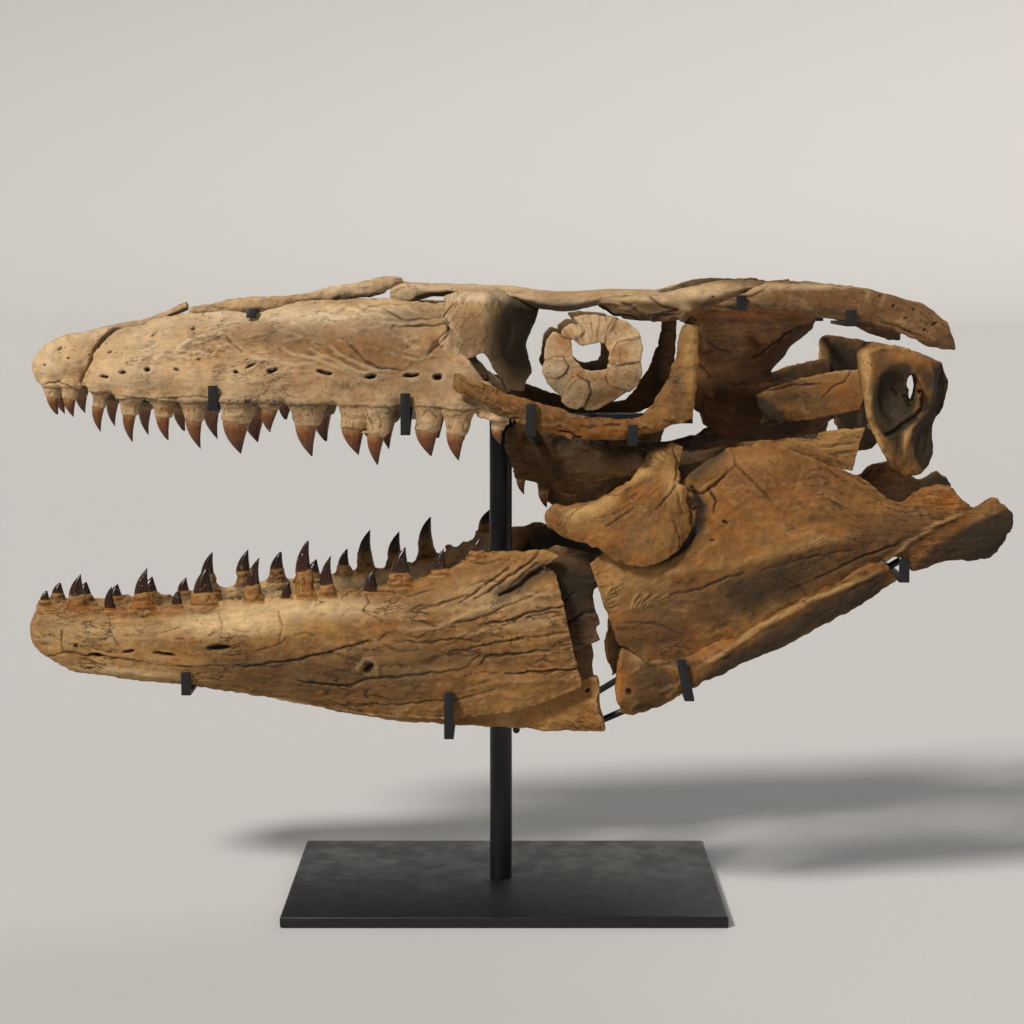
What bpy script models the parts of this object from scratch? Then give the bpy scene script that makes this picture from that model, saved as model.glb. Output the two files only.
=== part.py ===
"""Skull of a mosasaur, mounted bone by bone on a black steel museum stand.

The skull looks along -X with its left side toward -Y. Sizes are in millimetres, and MM turns them
into metres. Heights of bones are measured from the armature's datum, which lies LIFT above the floor.
"""

import math

import bmesh
import bpy
from mathutils import Matrix, Vector

MM = 0.001
LIFT = 100  # datum of the bones above the floor
LEFT, RIGHT = -1, 1  # sign of y on each side of the skull
SIDES = ((LEFT, "left"), (RIGHT, "right"))

# Going round a plate: share of the way from its low to its high edge, share of its thickness inward
PLATE_RING = ((0, 0.25), (0.25, 0), (0.75, 0), (1, 0.25), (1, 0.75), (0.75, 1), (0.25, 1), (0, 0.75))
# Going round a midline bone: share of its half-width, share of its height
MIDLINE_RING = (
    (0, 1), (0.75, 0.95), (1, 0.6), (1, 0.35), (0.6, 0.02),
    (0, 0), (-0.6, 0.02), (-1, 0.35), (-1, 0.6), (-0.75, 0.95),
)

TOOTH_SIDES = 6
TOOTH_ROOT = 9  # how deep a tooth starts inside the jaw
TOOTH_GIRTH = ((0.3, 0.9), (0.68, 0.55))  # share of length, share of base radius
TOOTH_FLATTEN = 0.8  # width across the jaw over width along it
TOOTH_BOW = 0.07  # how far a crown bows forward, over its length

# Steel stand
BASE_SIZE = (460, 300, 12)
POST_X, POST_RADIUS, POST_TOP = -4, 12, 440
RAIL_HALF = 10  # half the width of the flat rails on the midline
TOUCH = 0.3  # gap between pieces that rest on each other
ROD_RADIUS = 4
STRIP = 3.5  # thickness of the steel strip that the clips are bent from
CLIP_WIDTH = 10
# Each rail: where it starts and ends along x, its underside and its top
FRONT_RAIL = (-400, POST_X - POST_RADIUS - TOUCH, 430, 438)
REAR_RAIL = (POST_X + POST_RADIUS + TOUCH, 200, 408, 418)
# The rod inside each half of the lower jaw: (x, z, out)
JAW_ROD = ((-344, 135.6, 20), (-57, 97.5, 56), (95, 97.5, 72), (188, 146.5, 108), (405, 275.5, 112))
JAW_CROSSBAR = (12.6, 89, 68)  # x, z and half-length of the bar that ties both jaw rods to the post
EYE_ARM = ((91, 421.5, 12), (91, 441, 104.5))  # half of the rod that lies on the rear rail: (x, z, out)
EYE_ARM_RADIUS = 3
# Clips that run through the midline: half of each path, (x, z, out), midline first
CROSS_CLIPS = {
    "maxilla_front": ((-299, 428, 0), (-299, 428, 82.5), (-299, 452, 82.5)),
    "maxilla_rear": ((-100, 428, 0), (-100, 428, 60), (-100, 406, 115.5), (-100, 446, 115.5)),
    "jugal_front": ((27, 405.9, 0), (27, 405.9, 149), (27, 437, 149)),
    "jugal_rear": ((128, 405.9, 0), (128, 405.9, 60), (128, 398, 155.5), (128, 417, 155.5)),
    "jaw_front": ((-334, 128, 0), (-334, 128, 67.5), (-334, 151, 67.5)),
    "jaw_middle": ((-57, 91, 0), (-57, 91, 112), (-57, 138, 112)),
    "jaw_rear": ((188, 137, 0), (188, 137, 143), (179, 178, 143)),
    "jaw_hinge": ((399, 262, 0), (399, 262, 167), (399, 284, 167)),
}
# Clips that stand alone on each side: whole path, inner end first
SIDE_CLIPS = {
    "naris": ((-262, 528.5, 22), (-262, 528.5, 53), (-262, 521, 55)),
    "arch_front": ((235, 532.5, 60), (235, 532.5, 155), (235, 545, 155)),
    "arch_rear": ((342, 516.5, 60), (342, 516.5, 166), (342, 531, 166)),
}

# Finishes: colour, roughness, metallic
CREAM = ((0.56, 0.43, 0.29), 0.75, 0.0)
TAN = ((0.47, 0.32, 0.19), 0.75, 0.0)
ORANGE = ((0.44, 0.26, 0.12), 0.72, 0.0)
BROWN = ((0.30, 0.19, 0.11), 0.78, 0.0)
STEEL = ((0.012, 0.012, 0.013), 0.45, 0.3)

# Each plate below is a list of cross-sections from front to back (or top to bottom):
# (x, z, out) of the low edge, (x, z, out) of the high edge, thickness (or low and high), bulge outward.
MAXILLA = [
    ((-443, 450, 42), (-404, 511, 26), (14, 10), 6),
    ((-397, 438, 57), (-373, 520, 28), (20, 10), 9),
    ((-354, 436, 68), (-330, 526, 32), (22, 10), 10),
    ((-308, 435, 79), (-295, 528, 38), (24, 11), 10),
    ((-262, 436, 89), (-262, 525, 46), (24, 11), 10),
    ((-217, 435, 97), (-220, 535, 52), (24, 11), 10),
    ((-172, 434, 105), (-175, 540, 58), (24, 11), 10),
    ((-120, 433, 113), (-120, 541, 63), (24, 11), 10),
    ((-66, 433, 120), (-60, 536, 74), (22, 10), 8),
    ((-42, 431, 124), (-56, 490, 100), (20, 10), 4),
    ((-22, 428, 126), (-32, 470, 118), (14, 9), 2),
    ((6, 414, 130), (6, 438, 126), (8, 8), 1),
]
PREFRONTAL = [
    ((-51, 490, 107), (-57, 537, 77), 9, 4),
    ((-38, 479, 108), (-38, 539, 79), 9, 4),
    ((-20, 486, 103), (-19, 541, 82), 8, 2),
    ((-11, 468, 93), (-10, 539, 80), 7, 0),
    ((2, 446, 77), (2, 534, 66), 6, 0),
    ((22, 441, 55), (22, 532, 48), 6, 0),
    ((34, 458, 38), (38, 531, 34), 6, 0),
]
JUGAL = [
    ((-48, 459, 138), (-45, 465, 138), 6, 0),
    ((-24, 438, 139), (-22, 460, 139), 8, 1),
    ((1, 424, 141), (8, 448, 141), 9, 1),
    ((36, 409, 144), (44, 435, 144), 10, 1),
    ((76, 400, 147), (78, 426, 147), 11, 1),
    ((116, 401, 150), (118, 422, 150), 11, 1),
    ((151, 409, 152), (136, 424, 151), 11, 1),
    ((188, 422, 154), (148, 439, 150), 10, 2),
    ((192, 451, 152), (161, 457, 149), 10, 2),
    ((194, 486, 149), (172, 486, 147), 9, 2),
    ((193, 515, 145), (177, 515, 145), 8, 1),
]
POSTORBITOFRONTAL = [
    ((94, 536, 106), (97, 543, 106), 8, 0),
    ((122, 520, 116), (122, 543, 114), 16, 0),
    ((156, 519, 130), (156, 546, 126), 34, 1),
    ((180, 519, 142), (185, 553, 136), 34, 3),
    ((206, 538, 143), (206, 558, 138), 14, 3),
    ((235, 548, 141), (235, 561, 138), 9, 2),
    ((284, 556, 142), (284, 561, 141), 5, 0),
]
SQUAMOSAL = [
    ((208, 534, 150), (212, 537, 150), 4, 0),
    ((236, 536, 151), (238, 545, 149), 7, 1),
    ((263, 532, 153), (265, 553, 150), 9, 2),
    ((312, 524, 157), (313, 551, 152), 10, 3),
    ((359, 519, 161), (360, 550, 155), 12, 3),
    ((394, 508, 163), (394, 543, 156), 15, 3),
    ((417, 496, 162), (421, 533, 155), 18, 3),
    ((434, 491, 160), (440, 519, 154), 16, 2),
    ((448, 491, 157), (447, 499, 154), 8, 0),
]
SUPRATEMPORAL = [
    ((326, 521, 42), (326, 545, 40), 18, 0),
    ((350, 520, 68), (350, 543, 66), 16, 0),
    ((376, 515, 102), (376, 538, 100), 16, 0),
    ((400, 506, 138), (400, 531, 134), 20, 0),
]
OPISTHOTIC = [
    ((255, 394, 68), (262, 442, 70), 14, 0),
    ((288, 418, 88), (288, 455, 88), 12, 2),
    ((322, 424, 110), (322, 467, 110), 12, 2),
    ((350, 430, 130), (350, 473, 130), 12, 2),
]
QUADRATE = [
    ((399, 364, 154), (418, 366, 154), 16, 0),
    ((386, 374, 156), (426, 376, 156), 26, 1),
    ((377, 394, 157), (429, 394, 157), 26, 2),
    ((365, 414, 158), (428, 414, 158), 28, 3),
    ((361, 432, 159), (438, 432, 159), 32, 3),
    ((355, 457, 159), (450, 452, 159), 36, 3),
    ((355, 484, 158), (438, 480, 158), 36, 2),
    ((366, 498, 157), (408, 491, 157), 30, 0),
]
PTERYGOID = [
    ((8, 366, 45), (8, 390, 45), 6, 0),
    ((32, 349, 50), (32, 397, 48), 16, 0),
    ((69, 341, 54), (71, 397, 52), 18, 0),
    ((100, 350, 58), (106, 392, 56), 14, 0),
    ((151, 360, 68), (151, 382, 66), 10, 0),
    ((202, 371, 82), (202, 387, 80), 8, 0),
    ((247, 384, 93), (250, 395, 92), 6, 0),
    ((292, 380, 102), (292, 401, 102), 6, 0),
    ((332, 371, 110), (333, 409, 110), 6, 0),
    ((354, 367, 116), (368, 413, 116), 5, 0),
]
DENTARY = [
    ((-508, 177, 17), (-506, 200, 18), (12, 12), 0),
    ((-497, 162, 27), (-496, 216, 28), (18, 20), 3),
    ((-464, 146, 37), (-467, 211, 36), (20, 22), 5),
    ((-407, 138, 48), (-411, 212, 46), (20, 22), 6),
    ((-336, 134, 60), (-340, 216, 58), (20, 22), 7),
    ((-267, 126, 71), (-271, 225, 70), (20, 22), 8),
    ((-192, 115, 82), (-196, 232, 82), (20, 22), 9),
    ((-119, 106, 93), (-118, 240, 94), (18, 22), 9),
    ((-58, 106, 102), (-66, 257, 103), (16, 22), 9),
    ((6, 116, 111), (-14, 284, 110), (12, 16), 8),
    ((47, 129, 116), (26, 287, 116), (9, 12), 7),
    ((80, 145, 120), (50, 279, 119), (7, 9), 6),
]
SPLENIAL = [
    ((-334, 132, 34), (-334, 152, 34), 5, 0),
    ((-259, 120, 45), (-259, 150, 46), 6, 0),
    ((-184, 108, 57), (-184, 150, 58), 7, 0),
    ((-109, 98, 70), (-109, 152, 72), 8, 0),
    ((-36, 96, 82), (-36, 158, 84), 8, 0),
    ((27, 95, 93), (27, 158, 94), 9, 0),
    ((70, 94, 101), (70, 150, 102), 13, 0),
    ((105, 94, 108), (99, 150, 108), 24, 0),
]
ANGULAR = [
    ((116, 112, 118), (118, 187, 119), 24, 2),
    ((144, 118, 126), (147, 170, 127), 16, 2),
    ((189, 144, 137), (191, 175, 136), 12, 2),
    ((239, 171, 143), (237, 198, 143), 12, 2),
    ((283, 190, 148), (280, 224, 149), 12, 2),
    ((320, 211, 151), (320, 246, 153), 12, 2),
    ((350, 229, 153), (350, 263, 157), 10, 2),
    ((394, 257, 157), (379, 278, 160), 8, 0),
]
SURANGULAR = [
    ((116, 190, 121), (86, 272, 119), 7, 2),
    ((147, 172, 126), (124, 307, 125), 8, 5),
    ((191, 177, 134), (178, 359, 131), 9, 7),
    ((237, 200, 142), (225, 393, 136), 10, 8),
    ((280, 226, 147), (270, 398, 141), 10, 9),
    ((320, 248, 152), (316, 381, 146), 12, 8),
    ((350, 265, 156), (358, 365, 150), 14, 7),
    ((379, 281, 159), (384, 342, 153), 20, 5),
    ((399, 283, 161), (401, 337, 155), 30, 4),
    ((411, 268, 161), (417, 353, 157), 36, 3),
    ((444, 280, 161), (445, 355, 158), 34, 2),
    ((470, 280, 161), (470, 331, 159), 24, 2),
    ((489, 283, 161), (490, 344, 159), 24, 2),
    ((503, 302, 160), (502, 335, 160), 18, 0),
    ((508, 315, 160), (508, 326, 160), 8, 0),
]
PREARTICULAR = [
    ((27, 232, 98), (27, 282, 98), 5, 0),
    ((57, 226, 101), (53, 290, 101), 6, 0),
    ((119, 232, 108), (119, 276, 108), 6, 0),
    ((200, 240, 118), (200, 275, 118), 6, 0),
    ((300, 262, 127), (300, 298, 127), 6, 0),
]
CORONOID_WING = [
    ((43, 313, 128), (42, 328, 128), 10, 0),
    ((60, 300, 131), (63, 333, 130), 14, 0),
    ((92, 290, 138), (97, 340, 135), 14, 1),
    ((114, 276, 142), (121, 355, 138), 12, 3),
    ((139, 272, 146), (145, 364, 140), 10, 4),
    ((160, 277, 148), (165, 363, 143), 8, 4),
    ((178, 291, 148), (180, 354, 145), 7, 3),
    ((189, 312, 146), (187, 335, 145), 5, 0),
]
CORONOID_PROCESS = [
    ((115, 322, 134), (129, 358, 134), 12, 0),
    ((142, 338, 137), (147, 390, 134), 12, 2),
    ((165, 353, 139), (169, 398, 136), 12, 2),
    ((177, 378, 139), (181, 393, 138), 6, 0),
]

# Each midline bone: (x, z) of its top, (x, z) of its underside, half-width of each.
PREMAXILLA = [
    ((-503, 470), (-502, 461), 7, 7),
    ((-497, 483), (-497, 450), 15, 17),
    ((-484, 494), (-484, 446), 22, 27),
    ((-463, 503), (-466, 446), 24, 35),
    ((-432, 508), (-451, 450), 25, 40),
    ((-411, 512), (-447, 450), 25, 41),
    ((-403, 514), (-406, 504), 9, 9),
    ((-374, 521), (-374, 511), 10, 10),
    ((-340, 535), (-339, 526), 8, 8),
]
INTERNARIAL_BAR = [
    ((-333, 532), (-334, 521), 7, 7),
    ((-283, 540), (-283, 521), 9, 8),
    ((-218, 545), (-218, 527), 9, 8),
    ((-175, 555), (-175, 540), 9, 8),
    ((-150, 559), (-150, 550), 9, 9),
    ((-107, 561), (-107, 557), 6, 6),
]
FRONTAL = [
    ((-123, 551), (-123, 546), 7, 7),
    ((-60, 555), (-60, 547), 30, 30),
    ((-10, 554), (-10, 544), 56, 56),
    ((40, 550), (40, 539), 84, 84),
    ((80, 549), (80, 538), 92, 92),
    ((120, 549), (120, 538), 84, 84),
    ((162, 549), (160, 538), 62, 62),
]
PARIETAL = [
    ((168, 549), (168, 538), 58, 52),
    ((198, 548), (203, 502), 36, 38),
    ((212, 547), (208, 459), 26, 48),
    ((250, 546), (245, 454), 22, 54),
    ((290, 545), (272, 460), 18, 54),
    ((318, 543), (320, 505), 16, 32),
]
BRAINCASE = [
    ((206, 448), (212, 405), 40, 28),
    ((235, 448), (235, 392), 48, 34),
    ((270, 452), (270, 388), 46, 32),
    ((310, 456), (310, 395), 34, 28),
    ((332, 448), (332, 402), 24, 22),
    ((353, 438), (353, 413), 12, 12),
]
PALATE = [
    ((-428, 454), (-428, 448), 16, 16),
    ((-395, 455), (-395, 447), 30, 30),
    ((-350, 455), (-350, 446), 40, 40),
    ((-260, 455), (-260, 446), 58, 58),
    ((-170, 455), (-170, 446), 74, 74),
    ((-66, 455), (-66, 446), 88, 88),
    ((-18, 455), (-18, 447), 84, 84),
]

# Teeth: x on the jaw's edge, width along the jaw, length of the crown, how far the tip lies behind.
PREMAXILLA_TEETH = [(-477, 20, 32, 5), (-455, 18, 32, 2)]
PREMAXILLA_TOOTH_OUT = (17, 31)
MAXILLA_TEETH = [
    (-420, 20, 43, -3), (-387, 26, 47, -1), (-353, 27, 44, 4), (-319, 26, 50, 4),
    (-272, 34, 55, 0), (-238, 21, 32, -3), (-199, 36, 56, 2), (-151, 27, 52, 2),
    (-121, 27, 62, -8), (-74, 29, 52, 0), (-42, 29, 54, -4), (-6, 17, 26, 3),
]
DENTARY_TEETH_LEFT = [
    (-490, 13, 16, 2), (-452, 23, 38, 2), (-418, 13, 25, 2), (-381, 25, 44, 4), (-345, 13, 21, 3),
    (-314, 26, 42, 3), (-262, 20, 46, 6), (-227, 13, 19, 3), (-205, 20, 62, 2), (-183, 17, 42, 3),
    (-138, 17, 24, 3), (-106, 23, 42, 4), (-66, 20, 28, 4), (-28, 18, 22, 5),
]
DENTARY_TEETH_RIGHT = [
    (-484, 16, 20, 2), (-457, 20, 22, 2), (-424, 18, 18, 2), (-388, 22, 24, 3), (-352, 16, 20, 3),
    (-324, 23, 46, 4), (-286, 20, 42, 4), (-250, 20, 36, 4), (-212, 18, 22, 4), (-178, 18, 30, 4),
    (-153, 19, 48, 4), (-121, 20, 42, 4), (-86, 20, 48, 4), (-22, 18, 24, 5),
]
PTERYGOID_TEETH = [(18, 12, 24, 3), (42, 14, 26, 3), (70, 12, 16, 3)]

# Quadrate: the bowl on its outer face and the opening behind the shaft (x, z, out) and half-sizes
QUADRATE_BOWL = ((384, 446, 176), (20, 26, 34))
QUADRATE_OPENING = ((405, 454, 140), (7, 60, 17))

# Sclerotic ring of the eye
EYE_CENTRE = (91, 476, 112)
EYE_RADIUS, EYE_BAND = 34, 16
EYE_FLATTEN = 0.2
EYE_SEGMENTS = 20

parts = None
cutters = None


def start_scene():
    """An empty scene with one collection for the parts and one for what is joined or cut."""
    global parts, cutters
    for obj in list(bpy.data.objects):
        bpy.data.objects.remove(obj, do_unlink=True)
    parts = bpy.data.collections.new("mosasaur_skull")
    cutters = bpy.data.collections.new("cutters")
    for collection in (parts, cutters):
        bpy.context.scene.collection.children.link(collection)


def finish_material(name, finish):
    colour, roughness, metallic = finish
    material = bpy.data.materials.new(name)
    material.use_nodes = True
    shader = material.node_tree.nodes["Principled BSDF"]
    shader.inputs["Base Color"].default_value = (*colour, 1)
    shader.inputs["Roughness"].default_value = roughness
    shader.inputs["Metallic"].default_value = metallic
    return material


def place(name, mesh, finish):
    """A part of the skull or its stand, with its own material."""
    obj = bpy.data.objects.new(name, mesh)
    obj.data.materials.append(finish_material(name, finish))
    parts.objects.link(obj)
    return obj


def adopt(name, finish):
    """Makes the primitive that was just added a part."""
    obj = bpy.context.object
    obj.name = obj.data.name = name
    obj.data.materials.append(finish_material(name, finish))
    for collection in list(obj.users_collection):
        collection.objects.unlink(obj)
    parts.objects.link(obj)
    return obj


def place_cutter(name, mesh):
    obj = bpy.data.objects.new(name, mesh)
    obj.hide_render = True
    obj.display_type = "WIRE"
    cutters.objects.link(obj)
    return obj


def point(x, z, out, side):
    """A point in metres, from its x, its height over the datum and its distance from the midline."""
    return Vector((x * MM, side * out * MM, (z + LIFT) * MM))


def between(a, b, share):
    return tuple(p + (q - p) * share for p, q in zip(a, b))


def both_edges(thickness):
    return thickness if isinstance(thickness, tuple) else (thickness, thickness)


def loft(name, rings):
    """A closed mesh through rings of points that all have the same count."""
    bm = bmesh.new()
    loops = [[bm.verts.new(p) for p in ring] for ring in rings]
    for a, b in zip(loops, loops[1:]):
        for i in range(len(a)):
            j = (i + 1) % len(a)
            bm.faces.new((a[i], a[j], b[j], b[i]))
    bm.faces.new(loops[0])
    bm.faces.new(loops[-1])
    bmesh.ops.recalc_face_normals(bm, faces=bm.faces)
    mesh = bpy.data.meshes.new(name)
    bm.to_mesh(mesh)
    bm.free()
    return mesh


def plate_ring(section, side):
    low, high, thickness, bulge = section
    thin_low, thin_high = both_edges(thickness)
    ring = []
    for up, inward in PLATE_RING:
        x, z, out = between(low, high, up)
        swell = 4 * up * (1 - up) * bulge
        depth = inward * (thin_low + (thin_high - thin_low) * up)
        ring.append(point(x, z, out + swell - depth, side))
    return ring


def plate_mesh(name, sections, side):
    return loft(name, [plate_ring(section, side) for section in sections])


def midline_mesh(name, sections):
    rings = []
    for top, bottom, top_half, bottom_half in sections:
        ring = []
        for across, up in MIDLINE_RING:
            x, z = between(bottom, top, up)
            half = bottom_half + (top_half - bottom_half) * up
            ring.append(point(x, z, abs(across) * half, 1 if across >= 0 else -1))
        rings.append(ring)
    return loft(name, rings)


def edge_middle(sections, x, high):
    """The middle of a plate's edge at x: (x, z, out)."""
    for a, b in zip(sections, sections[1:]):
        start, end = a[high], b[high]
        if start[0] <= x <= end[0]:
            share = (x - start[0]) / (end[0] - start[0])
            thin = between((both_edges(a[2])[high],), (both_edges(b[2])[high],), share)[0]
            _, z, out = between(start, end, share)
            return x, z, out - thin / 2
    raise ValueError(f"no edge at {x}")


def tooth_rings(foot, side, width, length, lean, up):
    """Rings of one bowed crown from its root inside the jaw, and its tip. up is 1 or -1."""
    x, z, out = foot
    rings = []
    for share, girth in ((-TOOTH_ROOT / length, 1.0), *TOOTH_GIRTH):
        bow = -TOOTH_BOW * length * math.sin(math.pi * max(share, 0))
        centre = point(x + lean * share + bow, z + up * share * length, out, side)
        radius = width / 2 * girth * MM
        ring = []
        for i in range(TOOTH_SIDES):
            turn = 2 * math.pi * i / TOOTH_SIDES
            around = Vector((math.cos(turn), TOOTH_FLATTEN * math.sin(turn), 0))
            ring.append(centre + radius * around)
        rings.append(ring)
    return rings, point(x + lean, z + up * length, out, side)


def teeth_mesh(name, feet, rows, side, up):
    """Every tooth of one bone as one mesh, each a closed cone."""
    bm = bmesh.new()
    for foot, (_, width, length, lean) in zip(feet, rows):
        rings, tip = tooth_rings(foot, side, width, length, lean, up)
        loops = [[bm.verts.new(p) for p in ring] for ring in rings]
        apex = bm.verts.new(tip)
        for a, b in zip(loops, loops[1:]):
            for i in range(TOOTH_SIDES):
                j = (i + 1) % TOOTH_SIDES
                bm.faces.new((a[i], a[j], b[j], b[i]))
        for i in range(TOOTH_SIDES):
            bm.faces.new((loops[-1][i], loops[-1][(i + 1) % TOOTH_SIDES], apex))
        bm.faces.new(loops[0])
    bmesh.ops.recalc_face_normals(bm, faces=bm.faces)
    mesh = bpy.data.meshes.new(name)
    bm.to_mesh(mesh)
    bm.free()
    return mesh


def combine(obj, mesh, operation):
    """Joins a mesh to an object, or cuts it out of the object."""
    other = place_cutter(mesh.name, mesh)
    modifier = obj.modifiers.new(mesh.name, "BOOLEAN")
    modifier.operation = operation
    modifier.solver = "EXACT"
    modifier.use_self = operation == "UNION"
    modifier.object = other


def grow_teeth(obj, sections, rows, side, high):
    """Teeth along the low edge (high 0, pointing down) or the high edge (high 1, pointing up)."""
    feet = [edge_middle(sections, row[0], high) for row in rows]
    up = 1 if high else -1
    combine(obj, teeth_mesh(f"{obj.name}_teeth", feet, rows, side, up), "UNION")


def ellipsoid(name, centre, half_sizes, side):
    """Half-sizes are along x, y and z."""
    bm = bmesh.new()
    bmesh.ops.create_uvsphere(bm, u_segments=10, v_segments=6, radius=MM)
    bmesh.ops.scale(bm, vec=half_sizes, verts=bm.verts)
    bmesh.ops.translate(bm, vec=point(*centre, side), verts=bm.verts)
    mesh = bpy.data.meshes.new(name)
    bm.to_mesh(mesh)
    bm.free()
    return mesh


def premaxilla():
    obj = place("premaxilla", midline_mesh("premaxilla", PREMAXILLA), CREAM)
    under = PREMAXILLA[3][1][1]
    for side, word in SIDES:
        feet = [(row[0], under + 2, out) for row, out in zip(PREMAXILLA_TEETH, PREMAXILLA_TOOTH_OUT)]
        mesh = teeth_mesh(f"premaxilla_teeth_{word}", feet, PREMAXILLA_TEETH, side, -1)
        combine(obj, mesh, "UNION")


def midline_bones():
    premaxilla()
    for name, sections, finish in (
        ("internarial_bar", INTERNARIAL_BAR, CREAM),
        ("frontal", FRONTAL, CREAM),
        ("parietal", PARIETAL, BROWN),
        ("braincase", BRAINCASE, BROWN),
        ("palate", PALATE, TAN),
    ):
        place(name, midline_mesh(name, sections), finish)


def toothed_bones(side, word):
    for name, sections, rows, high, finish in (
        ("maxilla", MAXILLA, MAXILLA_TEETH, 0, CREAM),
        ("pterygoid", PTERYGOID, PTERYGOID_TEETH, 0, TAN),
        ("dentary", DENTARY, DENTARY_TEETH_LEFT if side == LEFT else DENTARY_TEETH_RIGHT, 1, TAN),
    ):
        obj = place(f"{name}_{word}", plate_mesh(f"{name}_{word}", sections, side), finish)
        grow_teeth(obj, sections, rows, side, high)


def plain_bones(side, word):
    for name, sections, finish in (
        ("prefrontal", PREFRONTAL, CREAM),
        ("jugal", JUGAL, TAN),
        ("postorbitofrontal", POSTORBITOFRONTAL, TAN),
        ("squamosal", SQUAMOSAL, TAN),
        ("supratemporal", SUPRATEMPORAL, BROWN),
        ("opisthotic", OPISTHOTIC, ORANGE),
        ("splenial", SPLENIAL, TAN),
        ("angular", ANGULAR, ORANGE),
        ("surangular", SURANGULAR, ORANGE),
        ("prearticular", PREARTICULAR, BROWN),
    ):
        place(f"{name}_{word}", plate_mesh(f"{name}_{word}", sections, side), finish)


def quadrate(side, word):
    obj = place(f"quadrate_{word}", plate_mesh(f"quadrate_{word}", QUADRATE, side), ORANGE)
    for part, (centre, half_sizes) in (("bowl", QUADRATE_BOWL), ("opening", QUADRATE_OPENING)):
        combine(obj, ellipsoid(f"quadrate_{part}_{word}", centre, half_sizes, side), "DIFFERENCE")


def coronoid(side, word):
    """A wing that lies over the jaw's side, and the process that stands up from it."""
    obj = place(f"coronoid_{word}", plate_mesh(f"coronoid_{word}", CORONOID_WING, side), ORANGE)
    combine(obj, plate_mesh(f"coronoid_process_{word}", CORONOID_PROCESS, side), "UNION")


def sclerotic_ring(side, word):
    bpy.ops.mesh.primitive_torus_add(
        major_segments=EYE_SEGMENTS,
        minor_segments=6,
        major_radius=EYE_RADIUS * MM,
        minor_radius=EYE_BAND * MM,
        location=point(*EYE_CENTRE, side),
        rotation=(math.pi / 2, 0, 0),
    )
    obj = adopt(f"sclerotic_ring_{word}", CREAM)
    obj.data.transform(Matrix.Diagonal((1, 1, EYE_FLATTEN, 1)))


def box(name, lows, highs):
    """A flat bar or plate between two corners, in millimetres from the datum."""
    bpy.ops.mesh.primitive_cube_add(size=MM)
    obj = adopt(name, STEEL)
    obj.scale = [high - low for low, high in zip(lows, highs)]
    obj.location = [(low + high) / 2 * MM for low, high in zip(lows, highs)]
    obj.location.z += LIFT * MM


def rod(name, points, radius):
    """A round bar through points in metres."""
    curve = bpy.data.curves.new(name, "CURVE")
    curve.dimensions = "3D"
    curve.bevel_depth = radius * MM
    curve.bevel_resolution = 1
    curve.use_fill_caps = True
    spline = curve.splines.new("POLY")
    spline.points.add(len(points) - 1)
    for target, where in zip(spline.points, points):
        target.co = (*where, 1)
    place(name, curve, STEEL)


def through_midline(half):
    """A path from the left tip to the right one, from the half that starts at or near the midline."""
    left = [point(*p, LEFT) for p in half[::-1] if p[2]]
    return left + [point(*p, RIGHT) for p in half if p[2]]


def turned(run):
    """Square to a run that lies across the skull."""
    return Vector((0, -run.z, run.y)).normalized()


def strip(name, path):
    """A flat steel strip of even thickness, bent across the skull."""
    runs = [(b - a).normalized() for a, b in zip(path, path[1:])]
    half = Vector((CLIP_WIDTH / 2 * MM, 0, 0))
    rings = []
    for i, here in enumerate(path):
        near = runs[max(i - 1, 0):i + 1]
        normal = turned(sum(near, Vector()))
        thick = normal * STRIP / 2 * MM / normal.dot(turned(near[0]))
        rings.append([here - half - thick, here + half - thick, here + half + thick, here - half + thick])
    place(name, loft(name, rings), STEEL)


def stand_frame():
    """The base plate, the post, the rails on the midline and the rods inside the lower jaw."""
    length, width, height = BASE_SIZE
    box("stand_base", (-length / 2, -width / 2, -LIFT), (length / 2, width / 2, height - LIFT))
    bottom = height - LIFT + TOUCH
    bpy.ops.mesh.primitive_cylinder_add(
        vertices=20,
        radius=POST_RADIUS * MM,
        depth=(POST_TOP - bottom) * MM,
        location=point(POST_X, (POST_TOP + bottom) / 2, 0, LEFT),
    )
    adopt("stand_post", STEEL)
    for name, (start, end, under, top) in (("front", FRONT_RAIL), ("rear", REAR_RAIL)):
        box(f"stand_rail_{name}", (start, -RAIL_HALF, under), (end, RAIL_HALF, top))
    x, z, reach = JAW_CROSSBAR
    rod("stand_jaw_crossbar", [point(x, z, reach, side) for side in (LEFT, RIGHT)], ROD_RADIUS)
    rod("stand_eye_arm", through_midline(EYE_ARM), EYE_ARM_RADIUS)
    for side, word in SIDES:
        rod(f"stand_jaw_rod_{word}", [point(*p, side) for p in JAW_ROD], ROD_RADIUS)


def stand_clips():
    for name, half in CROSS_CLIPS.items():
        strip(f"stand_clip_{name}", through_midline(half))
    for name, path in SIDE_CLIPS.items():
        for side, word in SIDES:
            strip(f"stand_clip_{name}_{word}", [point(*p, side) for p in path])


def main():
    start_scene()
    midline_bones()
    for side, word in SIDES:
        toothed_bones(side, word)
        plain_bones(side, word)
        quadrate(side, word)
        coronoid(side, word)
        sclerotic_ring(side, word)
    stand_frame()
    stand_clips()


main()
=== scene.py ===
import math

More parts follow.
